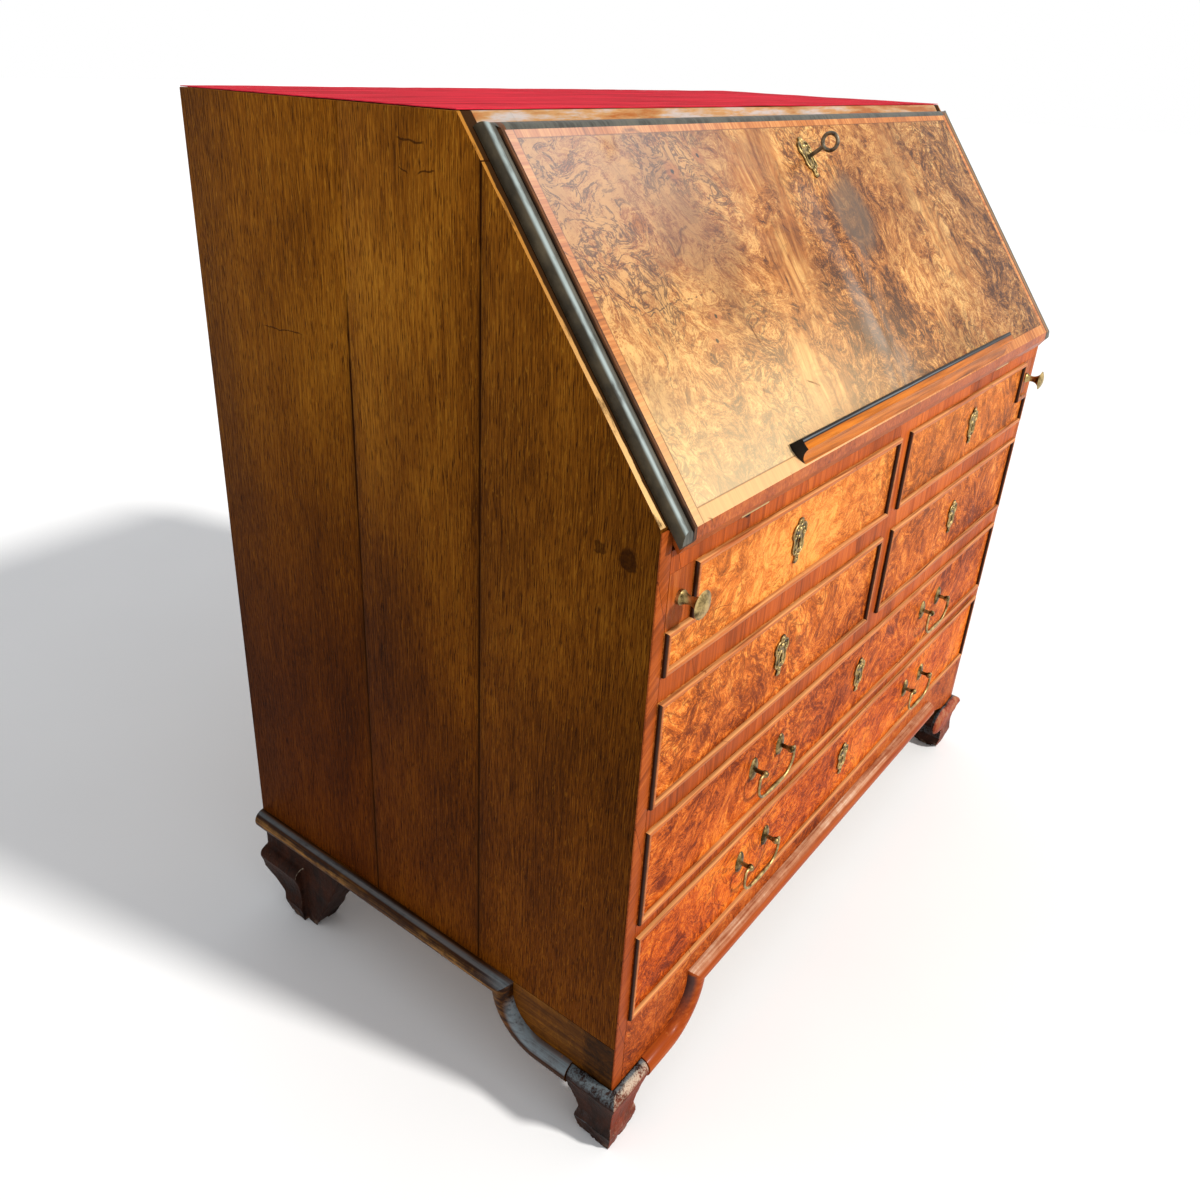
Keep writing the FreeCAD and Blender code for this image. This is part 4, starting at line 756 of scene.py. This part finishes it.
def lip_finish():
    """The fall's edge mouldings: dark old polish on the rolls with a painted highlight along their crowns,
    brown walnut on the fillets.
    """
    c = tints()
    finish = Finish("lip_polish")
    wide = abs(finish.x)
    rubs = finish.streaks((40.0, 14.0, 14.0), 5.0, 0.65)
    fine = finish.streaks((260.0, 60.0, 60.0))
    polish = finish.ramp(rubs * 0.7 + fine * 0.4, (0.48, c.lip_dark), (0.84, c.lip_light))
    outward = finish.facing("X") * (finish.x.rise(-0.01, 0.01) * 2 - 1)
    # Painted highlight: a pale bluish stripe along the crown of each roll, broken by the rubs.
    crown = outward.near(0.32, 0.05, 0.4) * (rubs * 0.7 + fine * 0.5).rise(0.36, 0.66)
    flank = outward.fall(-0.3, -0.05) * finish.x.rise(0.1, 0.2)
    quirk_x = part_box("fall_edge_mouldings")[1].x - LIP_ROLL
    fillet = wide.fall(quirk_x - 0.0003, quirk_x + 0.0003) * wide.rise(quirk_x - 0.008, quirk_x - 0.007)
    grooves = wide.near(quirk_x, 0.0006, 0.0016).most(wide.near(quirk_x - LIP_FILLET, *LINE_WIDTH))
    colour = finish.painted(
        polish,
        (crown * 0.9, LIP_SHINE),
        (flank * 0.8, LIP_BROWN),
        (finish.facing("Z").fall(-0.6, -0.3), c.lip_dark),
        (fillet, finish.ramp(rubs * 0.5 + fine * 0.6, *FILLET_STOPS)),
        (grooves * finish.up_slope().fall(0.34, 0.345), QUIRK_BLACK),
    )
    settings = {"coat": 0.04, "Coat_Roughness": 0.3, "Specular_IOR_Level": 0.12}
    return finish.close(colour, 0.34 + rubs * 0.26, fine * 0.5 + rubs * 0.5, **settings)


def ledge_finish():
    """The book ledge: orange walnut; black at its cut ends, as end grain and painted shade, and black along
    the back of its top as a painted shadow, with a painted highlight line.
    """
    c = tints()
    finish = Finish("ledge_walnut")
    fine, pores, broad = grain(finish, (8.0, 240.0, 240.0))
    # Black cut ends, as end grain and painted shade; a painted shadow in black along the back of the top,
    # with a thin painted highlight line.
    ends = abs(finish.facing("X")).rise(0.3, 0.6)
    ragged = finish.up_slope() + (fine - 0.5) * 0.002
    shine = ragged.near(LEDGE_SHINE, 0.0003, 0.0011) * (1 - ends) * broad.rise(0.3, 0.6)
    colour = finish.painted(
        finish.ramp(fine * 0.6 + broad * 0.5, (0.32, c.fall_dark), *LEDGE_STOPS),
        (pores * 0.4, c.fall_dark),
        (ends.most(ragged.rise(*LEDGE_SHADOW_BAND)), LEDGE_END_AND_SHADOW_BLACK),
        (shine * 0.85, LEDGE_GLEAM),
    )
    rough = 0.24 + finish.scuffs(26.0) * 0.24
    return finish.close(colour, rough, fine * 0.5 - pores * 0.4, Specular_IOR_Level=0.06)


def moulding_finish():
    """Base mouldings and wings: straight walnut in front with a painted sheen along its top, dark and rubbed
    golden along the sides, with a painted bluish reflection on their upward ridges.
    """
    c = tints()
    finish = Finish("base_moulding")
    fine_x, _, broad_x = grain(finish, (6.0, 220.0, 220.0))
    fine_y, _, broad_y = grain(finish, (220.0, 6.0, 220.0))
    on_side = finish.depth.rise(-0.0005, 0.0005)
    fine = fine_x * (1 - on_side) + fine_y * on_side
    broad = broad_x * (1 - on_side) + broad_y * on_side
    tone = fine * 0.6 + broad * 0.5 - 0.04
    scuffs = finish.noise(finish.at, 60.0, 5.0, 0.7)
    upward = finish.facing("Z")
    top = finish.z.rise(0.146, 0.153)
    hollow = finish.z.rise(0.09, 0.135) * finish.z.fall(0.146, 0.15) * finish.facing("Y").rise(-0.9, -0.5)
    # Painted sheen: the upward faces of the top are paled in streaks, as light caught on the polish.
    lit = finish.painted(
        finish.stain(1 - top, finish.tones(tone, "walnut", 0.28, 0.5, 0.78), ROLL_LOW),
        (top * upward.rise(0.3, 0.8) * 0.85, finish.ramp(fine_x * 0.75 + scuffs * 0.35, *SHEEN_STOPS)),
        (hollow * 0.85, HOLLOW_BLACK),
    )
    behind = finish.depth.rise(0.13, 0.2)
    runs = finish.streaks((20.0, 9.0, 20.0)).rise(0.4, 0.62)
    rubbed = (fine_y * 1.1 + scuffs * 0.4).rise(0.66, 0.94) * upward.fall(0.35, 0.8) * (0.25 + runs * 0.75)
    # Painted reflection: a bluish grey along the upward ridges of the sides and wings, for the sky mirrored
    # in their polish.
    ridge = upward.near(0.84, 0.04, 0.16).most(upward.near(0.6, 0.2, 0.5) * (1 - behind))
    painted_reflection = ridge * (fine_y * 0.7 + scuffs * 0.4).rise(0.28, 0.62)
    dull = finish.painted(
        finish.ramp(tone, (0.32, c.foot_dark), (0.5, c.oak_dark), (0.76, c.oak_mid)),
        (rubbed * behind * 0.85, RUBBED_GOLD),
        (upward.fall(-0.5, 0.05) * behind * 0.75, UNDER_BROWN),
        (painted_reflection * (0.9 - behind * 0.48), REFLECTION_BLUE_GREY),
    )
    chips = scuffs.rise(0.6, 0.7) * finish.z.fall(0.11, 0.13)
    colour = finish.painted(lit, (on_side, dull), (chips * 0.35, c.walnut_light))
    settings = {"coat": 0.02, "Coat_Roughness": 0.15, "Specular_IOR_Level": 0.05}
    return finish.close(colour, 0.2 + scuffs * 0.26, fine * 0.5 - chips * 0.6, **settings)


def base_finish():
    """The base boards: burr veneer with a joint on the front, dark oak with level grain on the sides."""
    c = tints()
    finish = Finish("base_boards")
    tone, spots, curls, _, _ = curled(finish, 1.3)
    front = finish.tones(tone - 0.05, "burr", 0.24, 0.5, 0.8)
    front = finish.stain(1.0, finish.blend(spots * 0.75, front, c.burr_dark), BASE_DIM)
    joint = (finish.x + (curls - 0.5) * 0.004).near(BASE_JOINT, *LINE_WIDTH)
    front = finish.blend(joint * 0.8, front, c.burr_dark)
    fine, pores, wide = grain(finish, (200.0, 7.0, 200.0))
    side = finish.tones(fine * 0.7 + wide * 0.25 + curls * 0.15, "oak", 0.3, 0.56, 0.85)
    side = finish.blend(pores * 0.5, side, c.foot_dark)
    block = (finish.depth + (curls - 0.5) * 0.02).fall(0.038, 0.046) * 0.3
    dusk = finish.depth.fall(0.02, 0.16) * 0.3
    side = finish.shade(side, 0.85 - block - dusk + (curls - 0.5) * 1.2)
    colour = finish.blend(finish.depth.rise(0.0005, 0.0015), front, side)
    return finish.close(colour, 0.42 + curls * 0.16, fine * 0.4 + curls * 0.2, Specular_IOR_Level=0.04)


def foot_finish():
    """The feet: dark red stain, a painted grey reflection and pale rubs on the knees, chipped and scuffed at
    the floor.
    """
    c = tints()
    finish = Finish("foot_stain")
    patches = finish.streaks((46.0, 46.0, 30.0), 6.0, 0.68)
    fine = finish.streaks((300.0, 300.0, 60.0), 4.0)
    speck = finish.noise(finish.at, 420.0, 4.0, 0.7)
    front_part = finish.depth.fall(0.2, 0.3)
    upward = finish.facing("Z")
    forward = finish.facing("Y")
    on_front = forward.fall(-0.75, -0.35)
    tone = patches * 0.8 + fine * 0.3
    rubs = (speck * 0.5 + patches * 0.6).rise(0.46, 0.64)
    # Painted reflection: bluish grey on the upward faces of the front feet's sides, broken by the rubs.
    grey = upward.rise(0.05, 0.6) * front_part * (1 - on_front)
    pale = upward.rise(0.05, 0.5) * forward.fall(-0.6, -0.25)
    chips = speck.rise(0.6, 0.7) * patches.rise(0.42, 0.56)
    right_knee = finish.x.rise(0.40, 0.42) * finish.z.rise(0.036, 0.05) * forward.fall(-0.5, 0.1)
    toe = finish.z.fall(0.003, 0.014) * patches.rise(0.5, 0.62)
    colour = finish.painted(
        finish.ramp(patches * 0.85 + fine * 0.3, (0.42, c.foot_dark), (0.76, c.foot_light)),
        (on_front * front_part * 0.8, finish.ramp(tone, (0.34, c.foot_light), (0.74, FOOT_RED))),
        (grey * 0.8 * rubs, KNEE_REFLECTION_GREY),
        (pale * rubs * 0.75, KNEE_PALE),
        (chips * 0.4, FOOT_CHIP),
        (right_knee * front_part * 0.85, finish.ramp(tone, *KNEE_STOPS)),
        (toe * 0.6, TOE_BROWN),
    )
    height = patches * 0.7 + fine * 0.4 - chips * 0.5
    return finish.close(colour, 0.34 + patches * 0.24, height, 0.0014, 1.0, Specular_IOR_Level=0.04)


def brass_finish(name="old_brass", dark_share=0.5):
    """Old brass: cloudy patches of rubbed brass and brown tarnish."""
    c = tints()
    finish = Finish(name)
    cloud = finish.noise(finish.at, 90.0, 5.0, 0.6)
    fine = finish.noise(finish.at, 900.0, 3.0, 0.6)
    tone = cloud * 0.9 + fine * 0.2 - 0.05
    colour = finish.ramp(tone, (dark_share - 0.16, c.brass_dark), (dark_share + 0.1, c.brass_light))
    return finish.close(colour, 0.26 + cloud * 0.3, fine, 0.0002, 0.5, Metallic=1.0)


def iron_finish():
    """Old iron with a brassy rub."""
    c = tints()
    finish = Finish("old_iron")
    cloud = finish.noise(finish.at, 160.0, 5.0, 0.65)
    colour = finish.ramp(cloud, (0.3, c.iron_dark), (0.85, c.iron_light))
    return finish.close(colour, 0.34 + cloud * 0.3, cloud, 0.0003, 0.6, Metallic=1.0)


def cloth_finish():
    """Red cloth: crossed threads, long streaks of painted sheen where the nap is rubbed, and soft patches
    that vary its tone and roughness.
    """
    c = tints()
    finish = Finish("red_cloth")
    threads = {"Vector": finish.at, "Scale": CLOTH_THREADS}
    warp, weft = [
        finish.node("ShaderNodeTexWave", {"bands_direction": axis}, threads, "Fac") for axis in ("X", "Y")
    ]
    # Long streaks where the nap is rubbed, their lighter red a painted sheen.
    streaks = finish.streaks((5.0, 90.0, 90.0), 4.0, 0.6)
    patches = finish.noise(finish.at, 8.0, 3.0)
    tone = streaks * 0.7 + patches * 0.3 + (warp + weft) * 0.08
    colour = finish.ramp(tone, (0.38, c.cloth_deep), (0.72, c.cloth_bright))
    height = warp * 0.5 + weft * 0.5
    return finish.close(colour, 0.7 + patches * 0.2, height, 0.0003, 0.5, Specular_IOR_Level=0.04)


RECIPES = {
    "oak_side": oak_side,
    "back_oak": back_finish,
    "burr_fronts": burr_fronts,
    "crossband_upright": lambda: banded("crossband_upright", 0.118, (0, 0, 0), (1.25, 1.16, 0.95)),
    "crossband_slant": lambda: banded("crossband_slant", 0.09, (0, math.radians(58), 0)),
    "fall_veneer": fall_veneer,
    "lip_polish": lip_finish,
    "ledge_walnut": ledge_finish,
    "base_moulding": moulding_finish,
    "base_boards": base_finish,
    "foot_stain": foot_finish,
    "old_brass": brass_finish,
    "dark_brass": lambda: brass_finish("dark_brass", 0.6),
    "pale_brass": lambda: brass_finish("pale_brass", 0.22),
    "old_iron": iron_finish,
    "red_cloth": cloth_finish,
    "inner_oak": lambda: wood("inner_oak", "inner", (160.0, 5.0, 160.0), 0.62),
    "shelf_oak": lambda: wood("shelf_oak", "inner", (5.0, 160.0, 160.0)),
    "loper_walnut": lambda: wood("loper_walnut", "walnut", (240.0, 240.0, 12.0), 0.4, 0.05),
}
made_finishes = {}


def finish_of(name):
    """A finish by name, made when it is first asked for."""
    if name not in made_finishes:
        made_finishes[name] = RECIPES[name]()
    return made_finishes[name]


def only(piece):
    """Leave one object selected and active."""
    bpy.ops.object.select_all(action="DESELECT")
    piece.select_set(True)
    bpy.context.view_layer.objects.active = piece


def wear(finish_name, *nodes):
    """Give CAD nodes a finish."""
    for name in nodes:
        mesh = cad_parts[name].data
        mesh.materials.clear()
        mesh.materials.append(finish_of(finish_name))


def place_piece(piece, name, body, slot, finish_name, *stands_for):
    """Name a new piece and put it on its body."""
    piece.name = name
    piece.data.name = name
    piece.data.materials.clear()
    piece.data.materials.append(finish_of(finish_name))
    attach(piece, body)
    if stands_for:
        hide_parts(*stands_for)
    return piece


def apply(piece, name):
    """Apply a modifier of the active piece."""
    only(piece)
    bpy.ops.object.modifier_apply(modifier=name)


def merged_copy(node):
    """A copy of a CAD piece whose loose triangles are joined into whole faces."""
    piece = bpy.data.objects.new(node + "_copy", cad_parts[node].data.copy())
    bpy.context.scene.collection.objects.link(piece)
    only(piece)
    bpy.ops.mesh.customdata_custom_splitnormals_clear()
    bpy.ops.object.mode_set(mode="EDIT")
    bpy.ops.mesh.select_all(action="SELECT")
    bpy.ops.mesh.remove_doubles(threshold=2e-6)
    bpy.ops.mesh.dissolve_limited(angle_limit=math.radians(0.3))
    bpy.ops.object.mode_set(mode="OBJECT")
    return piece


def eased(node, width, segments=2):
    """A copy of a CAD piece with its arrises eased."""
    piece = merged_copy(node)
    rounding = piece.modifiers.new("arrises", "BEVEL")
    rounding.limit_method = "ANGLE"
    rounding.angle_limit = ARRIS_ANGLE
    rounding.width = width
    rounding.segments = segments
    apply(piece, rounding.name)
    bpy.ops.object.shade_smooth_by_angle(angle=SMOOTH_ANGLE)
    return piece


def worn_foot(node, lobes=()):
    """A copy of a foot with rounded corners, dents, a ragged toe and any lobes left of a wing."""
    made = [boss(*lobe) for lobe in lobes]
    piece = eased(node, sizes().foot_ease, 3)
    for lobe in made:
        lobe.data.transform(Matrix.Translation((0, FRONT - WING_STUB_OUT, 0)))
        lobe.select_set(True)
    if made:
        bpy.ops.object.join()
    skin = piece.modifiers.new("skin", "REMESH")
    skin.mode = "VOXEL"
    skin.voxel_size = sizes().foot_mesh
    skin.use_smooth_shade = True
    apply(piece, skin.name)
    toe = piece.vertex_groups.new(name="toe")
    for vertex in piece.data.vertices:
        low = max(0.0, 1 - vertex.co.z / sizes().toe_height)
        toe.add([vertex.index], min(1.0, TOE_LEAST + low), "REPLACE")
    for name, spread, depth, group in FOOT_DENTS:
        cloud = bpy.data.textures.new(node + "_" + name, "CLOUDS")
        cloud.noise_scale = spread
        cloud.noise_depth = 3
        dents = piece.modifiers.new(name, "DISPLACE")
        dents.texture = cloud
        dents.texture_coords = "LOCAL"
        dents.strength = sizes().foot_grain * depth
        dents.mid_level = DENT_LEVEL
        dents.vertex_group = group
        apply(piece, dents.name)
        bpy.data.textures.remove(cloud)
    piece.vertex_groups.clear()
    for vertex in piece.data.vertices:
        if vertex.co.z < sizes().sole_height:
            vertex.co.z = 0.0
    return piece


class BUREAU_OT_carcase(bpy.types.Operator):
    """Finish the case: sides, top, back, bed and inner boards."""

    bl_idname = "bureau.carcase"
    bl_label = "Carcase"

    def execute(self, context):
        for node in ("side_left", "side_right"):
            side = eased(node, sizes().wood_ease)
            place_piece(side, node + "_eased", "case", "oak", "oak_side", node)
        wear("shelf_oak", "top_board", "bottom_board", "writing_bed")
        wear("back_oak", "back_boards")
        wear("inner_oak", "drawer_runners", "loper_guides")
        wear("crossband_upright", "drawer_rails", "fall_rail")
        facings = eased("crossbanded_facings", sizes().wood_ease)
        name = "crossbanded_facings"
        place_piece(facings, name + "_eased", "case", "walnut", "crossband_slant", name)
        return {"FINISHED"}


class BUREAU_OT_gallery(bpy.types.Operator):
    """Finish the pigeonholes and their small drawers."""

    bl_idname = "bureau.gallery"
    bl_label = "Gallery"

    def execute(self, context):
        wear("inner_oak", "pigeonhole_gallery")
        wear("loper_walnut", *[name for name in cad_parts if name.startswith("small_drawer_")])
        return {"FINISHED"}


class BUREAU_OT_cloth(bpy.types.Operator):
    """Lay the red cloth on the top."""

    bl_idname = "bureau.cloth"
    bl_label = "Cloth top"

    def execute(self, context):
        low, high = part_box("top_cloth")
        size = high - low
        middle = (low + high) / 2
        bpy.ops.object.select_all(action="DESELECT")
        faces = dict(zip(("x_subdivisions", "y_subdivisions"), CLOTH_FACES))
        bpy.ops.mesh.primitive_grid_add(size=1, location=(0, 0, 0), **faces)
        piece = bpy.context.active_object
        bpy.ops.object.mode_set(mode="EDIT")
        bpy.ops.mesh.select_all(action="SELECT")
        bpy.ops.transform.resize(value=(size.x, size.y, 1))
        bpy.ops.transform.translate(value=(middle.x, middle.y, BOARD_TOP + CLOTH_GAP))
        bpy.ops.object.mode_set(mode="OBJECT")
        ripples = bpy.data.textures.new("cloth_ripples", "CLOUDS")
        ripples.noise_scale = RIPPLE_SPREAD
        lift = piece.modifiers.new("ripples", "DISPLACE")
        lift.texture = ripples
        lift.texture_coords = "LOCAL"
        lift.mid_level = 0
        lift.strength = sizes().cloth_ripple
        apply(piece, lift.name)
        body = piece.modifiers.new("thickness", "SOLIDIFY")
        body.thickness = sizes().cloth_thickness
        body.offset = 1
        apply(piece, body.name)
        bpy.ops.object.shade_smooth_by_angle(angle=math.radians(50))
        place_piece(piece, "red_cloth_top", "case", "red_cloth", "red_cloth", "top_cloth")
        return {"FINISHED"}


class BUREAU_OT_fall(bpy.types.Operator):
    """Finish the fall, its lip, book ledge, hinges, lock and key."""

    bl_idname = "bureau.fall"
    bl_label = "Fall"

    def execute(self, context):
        wear("fall_veneer", "fall_board")
        wear("lip_polish", "fall_edge_mouldings")
        ledge = eased("book_ledge", sizes().ledge_ease, 4)
        place_piece(ledge, "book_ledge_eased", "fall", "walnut", "ledge_walnut", "book_ledge")
        wear("dark_brass", "fall_escutcheon")
        wear("pale_brass", "fall_hinge_fixed", "fall_hinge_moving")
        wear("old_iron", "fall_lock", "lock_bolt", "key")
        return {"FINISHED"}


def stroke(points, thick):
    """A rounded bar along a smooth line in the plate's plane, tapering at its ends."""
    bpy.ops.object.select_all(action="DESELECT")
    bpy.ops.curve.primitive_nurbs_path_add(location=(0, 0, 0))
    line = bpy.context.active_object
    spline = line.data.splines[0]
    spline.points.add(max(0, len(points) - len(spline.points)))
    for point, (x, z) in zip(spline.points, points):
        point.co = (x * MM, 0, z * MM, 1)
        point.radius = 1.0
    for spare in spline.points[len(points):]:
        spare.co = (points[-1][0] * MM, 0, points[-1][1] * MM, 1)
    spline.points[0].radius = 0.55
    spline.order_u = 3
    spline.use_endpoint_u = True
    spline.resolution_u = 5
    line.data.bevel_depth = thick * MM
    line.data.bevel_resolution = 2
    line.data.use_fill_caps = True
    bpy.ops.object.convert(target="MESH")
    return bpy.context.active_object


def boss(x, z, wide, tall, deep):
    """A rounded knob on the plate."""
    bpy.ops.object.select_all(action="DESELECT")
    bpy.ops.mesh.primitive_uv_sphere_add(segments=16, ring_count=10, radius=1, location=(0, 0, 0))
    knob = bpy.context.active_object
    bpy.ops.object.mode_set(mode="EDIT")
    bpy.ops.mesh.select_all(action="SELECT")
    bpy.ops.transform.resize(value=(wide * MM, deep * MM, tall * MM))
    bpy.ops.transform.translate(value=(x * MM, 0, z * MM))
    bpy.ops.object.mode_set(mode="OBJECT")
    return knob


def scrollwork():
    """The relief of a cast escutcheon about its keyhole: scrolls, bosses, crown and drop."""
    strokes = (
        (((1, 18), (6, 20), (12, 16), (13.5, 9), (10, 4), (6.5, 7), (9, 10)), 1.25),
        (((11.5, 5), (9, -1), (11, -6), (9.5, -12), (4.5, -14.5), (2.6, -10.5), (6, -9)), 1.15),
        (((0.2, 24), (3.4, 23), (3, 19), (0.6, 17)), 0.9),
        (((0.2, -24.2), (3.2, -22), (1.6, -17.5), (4.4, -15.5)), 0.9),
    )
    bosses = (
        (0, 21.5, 1.7, 2.6, 1.8),
        (0, -21.6, 1.8, 2.3, 1.8),
        (0, 13.6, 3.2, 2.4, 1.9),
        (0, -15.8, 2.3, 2.4, 1.7),
    )
    pair_bosses = ((9.2, 8.2, 1.5, 1.5, 1.9), (5.2, -11.2, 1.4, 1.4, 1.7), (6.2, 13.4, 2.0, 1.5, 1.6))
    made = []
    for way in (1, -1):
        for points, thick in strokes:
            made.append(stroke([(x * way, z) for x, z in points], thick))
        for x, z, *size in pair_bosses:
            made.append(boss(x * way, z, *size))
    for place in bosses:
        made.append(boss(*place))
    bpy.ops.object.select_all(action="DESELECT")
    bpy.ops.mesh.primitive_torus_add(
        major_radius=4.6 * MM,
        minor_radius=1.0 * MM,
        major_segments=28,
        minor_segments=8,
        rotation=(math.pi / 2, 0, 0),
    )
    ring = bpy.context.active_object
    bpy.ops.object.transform_apply(location=False, rotation=True, scale=False)
    bpy.ops.object.mode_set(mode="EDIT")
    bpy.ops.mesh.select_all(action="SELECT")
    bpy.ops.transform.resize(value=(1, 1, 1.75))
    bpy.ops.transform.translate(value=(0, 0, -2.6 * MM))
    bpy.ops.object.mode_set(mode="OBJECT")
    made.append(ring)
    bpy.ops.object.select_all(action="DESELECT")
    for piece in made:
        piece.select_set(True)
    bpy.context.view_layer.objects.active = ring
    bpy.ops.object.join()
    bpy.ops.object.shade_smooth_by_angle(angle=math.radians(60))
    return ring


class BUREAU_OT_escutcheons(bpy.types.Operator):
    """Cast the relief of the escutcheons and set one on each keyhole plate."""

    bl_idname = "bureau.escutcheons"
    bl_label = "Escutcheons"

    def execute(self, context):
        pattern = scrollwork()
        for drawer in ("1_left", "1_right", "2_left", "2_right", "3", "4"):
            body = "drawer_" + drawer
            low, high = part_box(body + "_front")
            place = (low + high) / 2
            place.y = FRONT - PLATE_THICKNESS
            self.set_on(pattern, Matrix.Translation(place), body, body + "_scrolls")
        low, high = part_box("fall_escutcheon")
        lean = Matrix.Rotation(SLOPE - math.pi / 2, 4, "X")
        outward = Vector((0, -math.sin(SLOPE), math.cos(SLOPE))) * FALL_PLATE_OUT
        self.set_on(pattern, Matrix.Translation((low + high) / 2 + outward) @ lean, "fall", "fall_scrolls")
        bpy.data.objects.remove(pattern)
        return {"FINISHED"}

    def set_on(self, pattern, place, body, name):
        """A copy of the relief at a place."""
        mesh = pattern.data.copy()
        mesh.transform(place)
        piece = bpy.data.objects.new(name, mesh)
        bpy.context.scene.collection.objects.link(piece)
        place_piece(piece, name, body, "brass", "old_brass")


class BUREAU_OT_drawers(bpy.types.Operator):
    """Finish the drawers, their boxes and brasses, and the lopers."""

    bl_idname = "bureau.drawers"
    bl_label = "Drawers and lopers"

    def execute(self, context):
        endings = {"_front": "burr_fronts", "_box": "inner_oak", "_brass": "dark_brass"}
        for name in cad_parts:
            for ending, finish_name in endings.items():
                if name.startswith("drawer_") and name.endswith(ending):
                    wear(finish_name, name)
            if "_bail_" in name or name.startswith("loper_knob"):
                wear("old_brass", name)
        wear("loper_walnut", "loper_left", "loper_right")
        return {"FINISHED"}


class BUREAU_OT_base(bpy.types.Operator):
    """Finish the base boards and mouldings, and wear the feet."""

    bl_idname = "bureau.base"
    bl_label = "Base and feet"

    def execute(self, context):
        wear("base_boards", "base_boards")
        wear("base_moulding", "base_mouldings")
        wings = eased("foot_wings", sizes().wood_ease)
        place_piece(wings, "foot_wings_eased", "case", "walnut", "base_moulding", "foot_wings")
        for place in ("front_left", "front_right", "rear_left", "rear_right"):
            node = "foot_" + place
            foot = worn_foot(node, WING_STUB if place == "front_right" else ())
            place_piece(foot, node + "_worn", "case", "walnut", "foot_stain", node)
        return {"FINISHED"}


class BUREAU_OT_stage(bpy.types.Operator):
    """Set the floor, the light and the camera."""

    bl_idname = "bureau.stage"
    bl_label = "Stage"

    def execute(self, context):
        context.scene.view_settings.view_transform = "Standard"
        self.lay_floor(context)
        self.set_sky(context.scene)
        self.set_sun(context.scene)
        self.set_camera(context.scene)
        return {"FINISHED"}

    def lay_floor(self, context):
        """A wide pale floor just under the feet."""
        bpy.ops.object.select_all(action="DESELECT")
        bpy.ops.mesh.primitive_plane_add(size=FLOOR_SIZE, location=(0, 0, -FLOOR_DROP))
        floor = context.active_object
        floor.name = "pale_floor"
        ground = Finish("pale_floor")
        pale = ground.ramp(ground.noise(ground.at, 3.0, 2.0), *FLOOR_STOPS)
        floor.data.materials.append(ground.close(pale, 0.9, Specular_IOR_Level=0.1))

    def set_sky(self, scene):
        """A white sky that is seen brighter than it lights."""
        scene.world = bpy.data.worlds.new("soft_sky")
        scene.world.use_nodes = True
        nodes = scene.world.node_tree.nodes
        links = scene.world.node_tree.links
        path = nodes.new("ShaderNodeLightPath")
        seen = nodes.new("ShaderNodeMath")
        seen.operation = "MAXIMUM"
        links.new(path.outputs["Is Camera Ray"], seen.inputs[0])
        links.new(path.outputs["Is Glossy Ray"], seen.inputs[1])
        level = nodes.new("ShaderNodeMapRange")
        level.inputs["To Min"].default_value = SKY_LIGHT
        level.inputs["To Max"].default_value = SKY_SEEN
        links.new(seen.outputs[0], level.inputs["Value"])
        sky = nodes["Background"]
        sky.inputs["Color"].default_value = (1.0, 1.0, 1.0, OPAQUE)
        links.new(level.outputs[0], sky.inputs["Strength"])

    def set_sun(self, scene):
        """A soft sun from the front right."""
        lamp = bpy.data.lights.new("window_sun", "SUN")
        lamp.energy = SUN_LEVEL
        lamp.angle = SUN_WIDTH
        lamp.color = SUN_COLOUR
        sun = bpy.data.objects.new("window_sun", lamp)
        scene.collection.objects.link(sun)
        sun.rotation_euler = Vector(SUN_FROM).to_track_quat("Z", "Y").to_euler()

    def set_camera(self, scene):
        """The camera of the photograph."""
        eye = bpy.data.cameras.new("eye")
        eye.lens = sizes().camera_lens
        eye.sensor_width = CAMERA_SENSOR
        eye.shift_x, eye.shift_y = CAMERA_SHIFT
        eye.clip_end = CAMERA_REACH
        camera = bpy.data.objects.new("eye", eye)
        scene.collection.objects.link(camera)
        camera.location = CAMERA_PLACE
        camera.rotation_euler = [math.radians(turn) for turn in CAMERA_TURN]
        scene.camera = camera


class BUREAU_PT_panel(bpy.types.Panel):
    """The bureau's steps in the sidebar."""

    bl_label = "Bureau"
    bl_idname = "BUREAU_PT_panel"
    bl_space_type = "VIEW_3D"
    bl_region_type = "UI"
    bl_category = "Bureau"

    def draw(self, context):
        for step in steps:
            self.layout.operator(step.bl_idname)
        for group in (context.scene.bureau_sizes, context.scene.bureau_colours):
            box = self.layout.box()
            for name in group.__annotations__:
                box.prop(group, name)


steps = (
    BUREAU_OT_carcase,
    BUREAU_OT_gallery,
    BUREAU_OT_cloth,
    BUREAU_OT_fall,
    BUREAU_OT_drawers,
    BUREAU_OT_escutcheons,
    BUREAU_OT_base,
    BUREAU_OT_stage,
)
classes = (BureauSizes, BureauColours, *steps, BUREAU_PT_panel)


def register():
    for each in classes:
        bpy.utils.register_class(each)
    bpy.types.Scene.bureau_sizes = bpy.props.PointerProperty(type=BureauSizes)
    bpy.types.Scene.bureau_colours = bpy.props.PointerProperty(type=BureauColours)


def unregister():
    del bpy.types.Scene.bureau_colours
    del bpy.types.Scene.bureau_sizes
    for each in reversed(classes):
        bpy.utils.unregister_class(each)


def main():
    """Build the looks in order."""
    register()
    bpy.ops.bureau.stage()
    bpy.ops.bureau.carcase()
    bpy.ops.bureau.gallery()
    bpy.ops.bureau.cloth()
    bpy.ops.bureau.fall()
    bpy.ops.bureau.drawers()
    bpy.ops.bureau.escutcheons()
    bpy.ops.bureau.base()


if __name__ == "__main__":
    main()
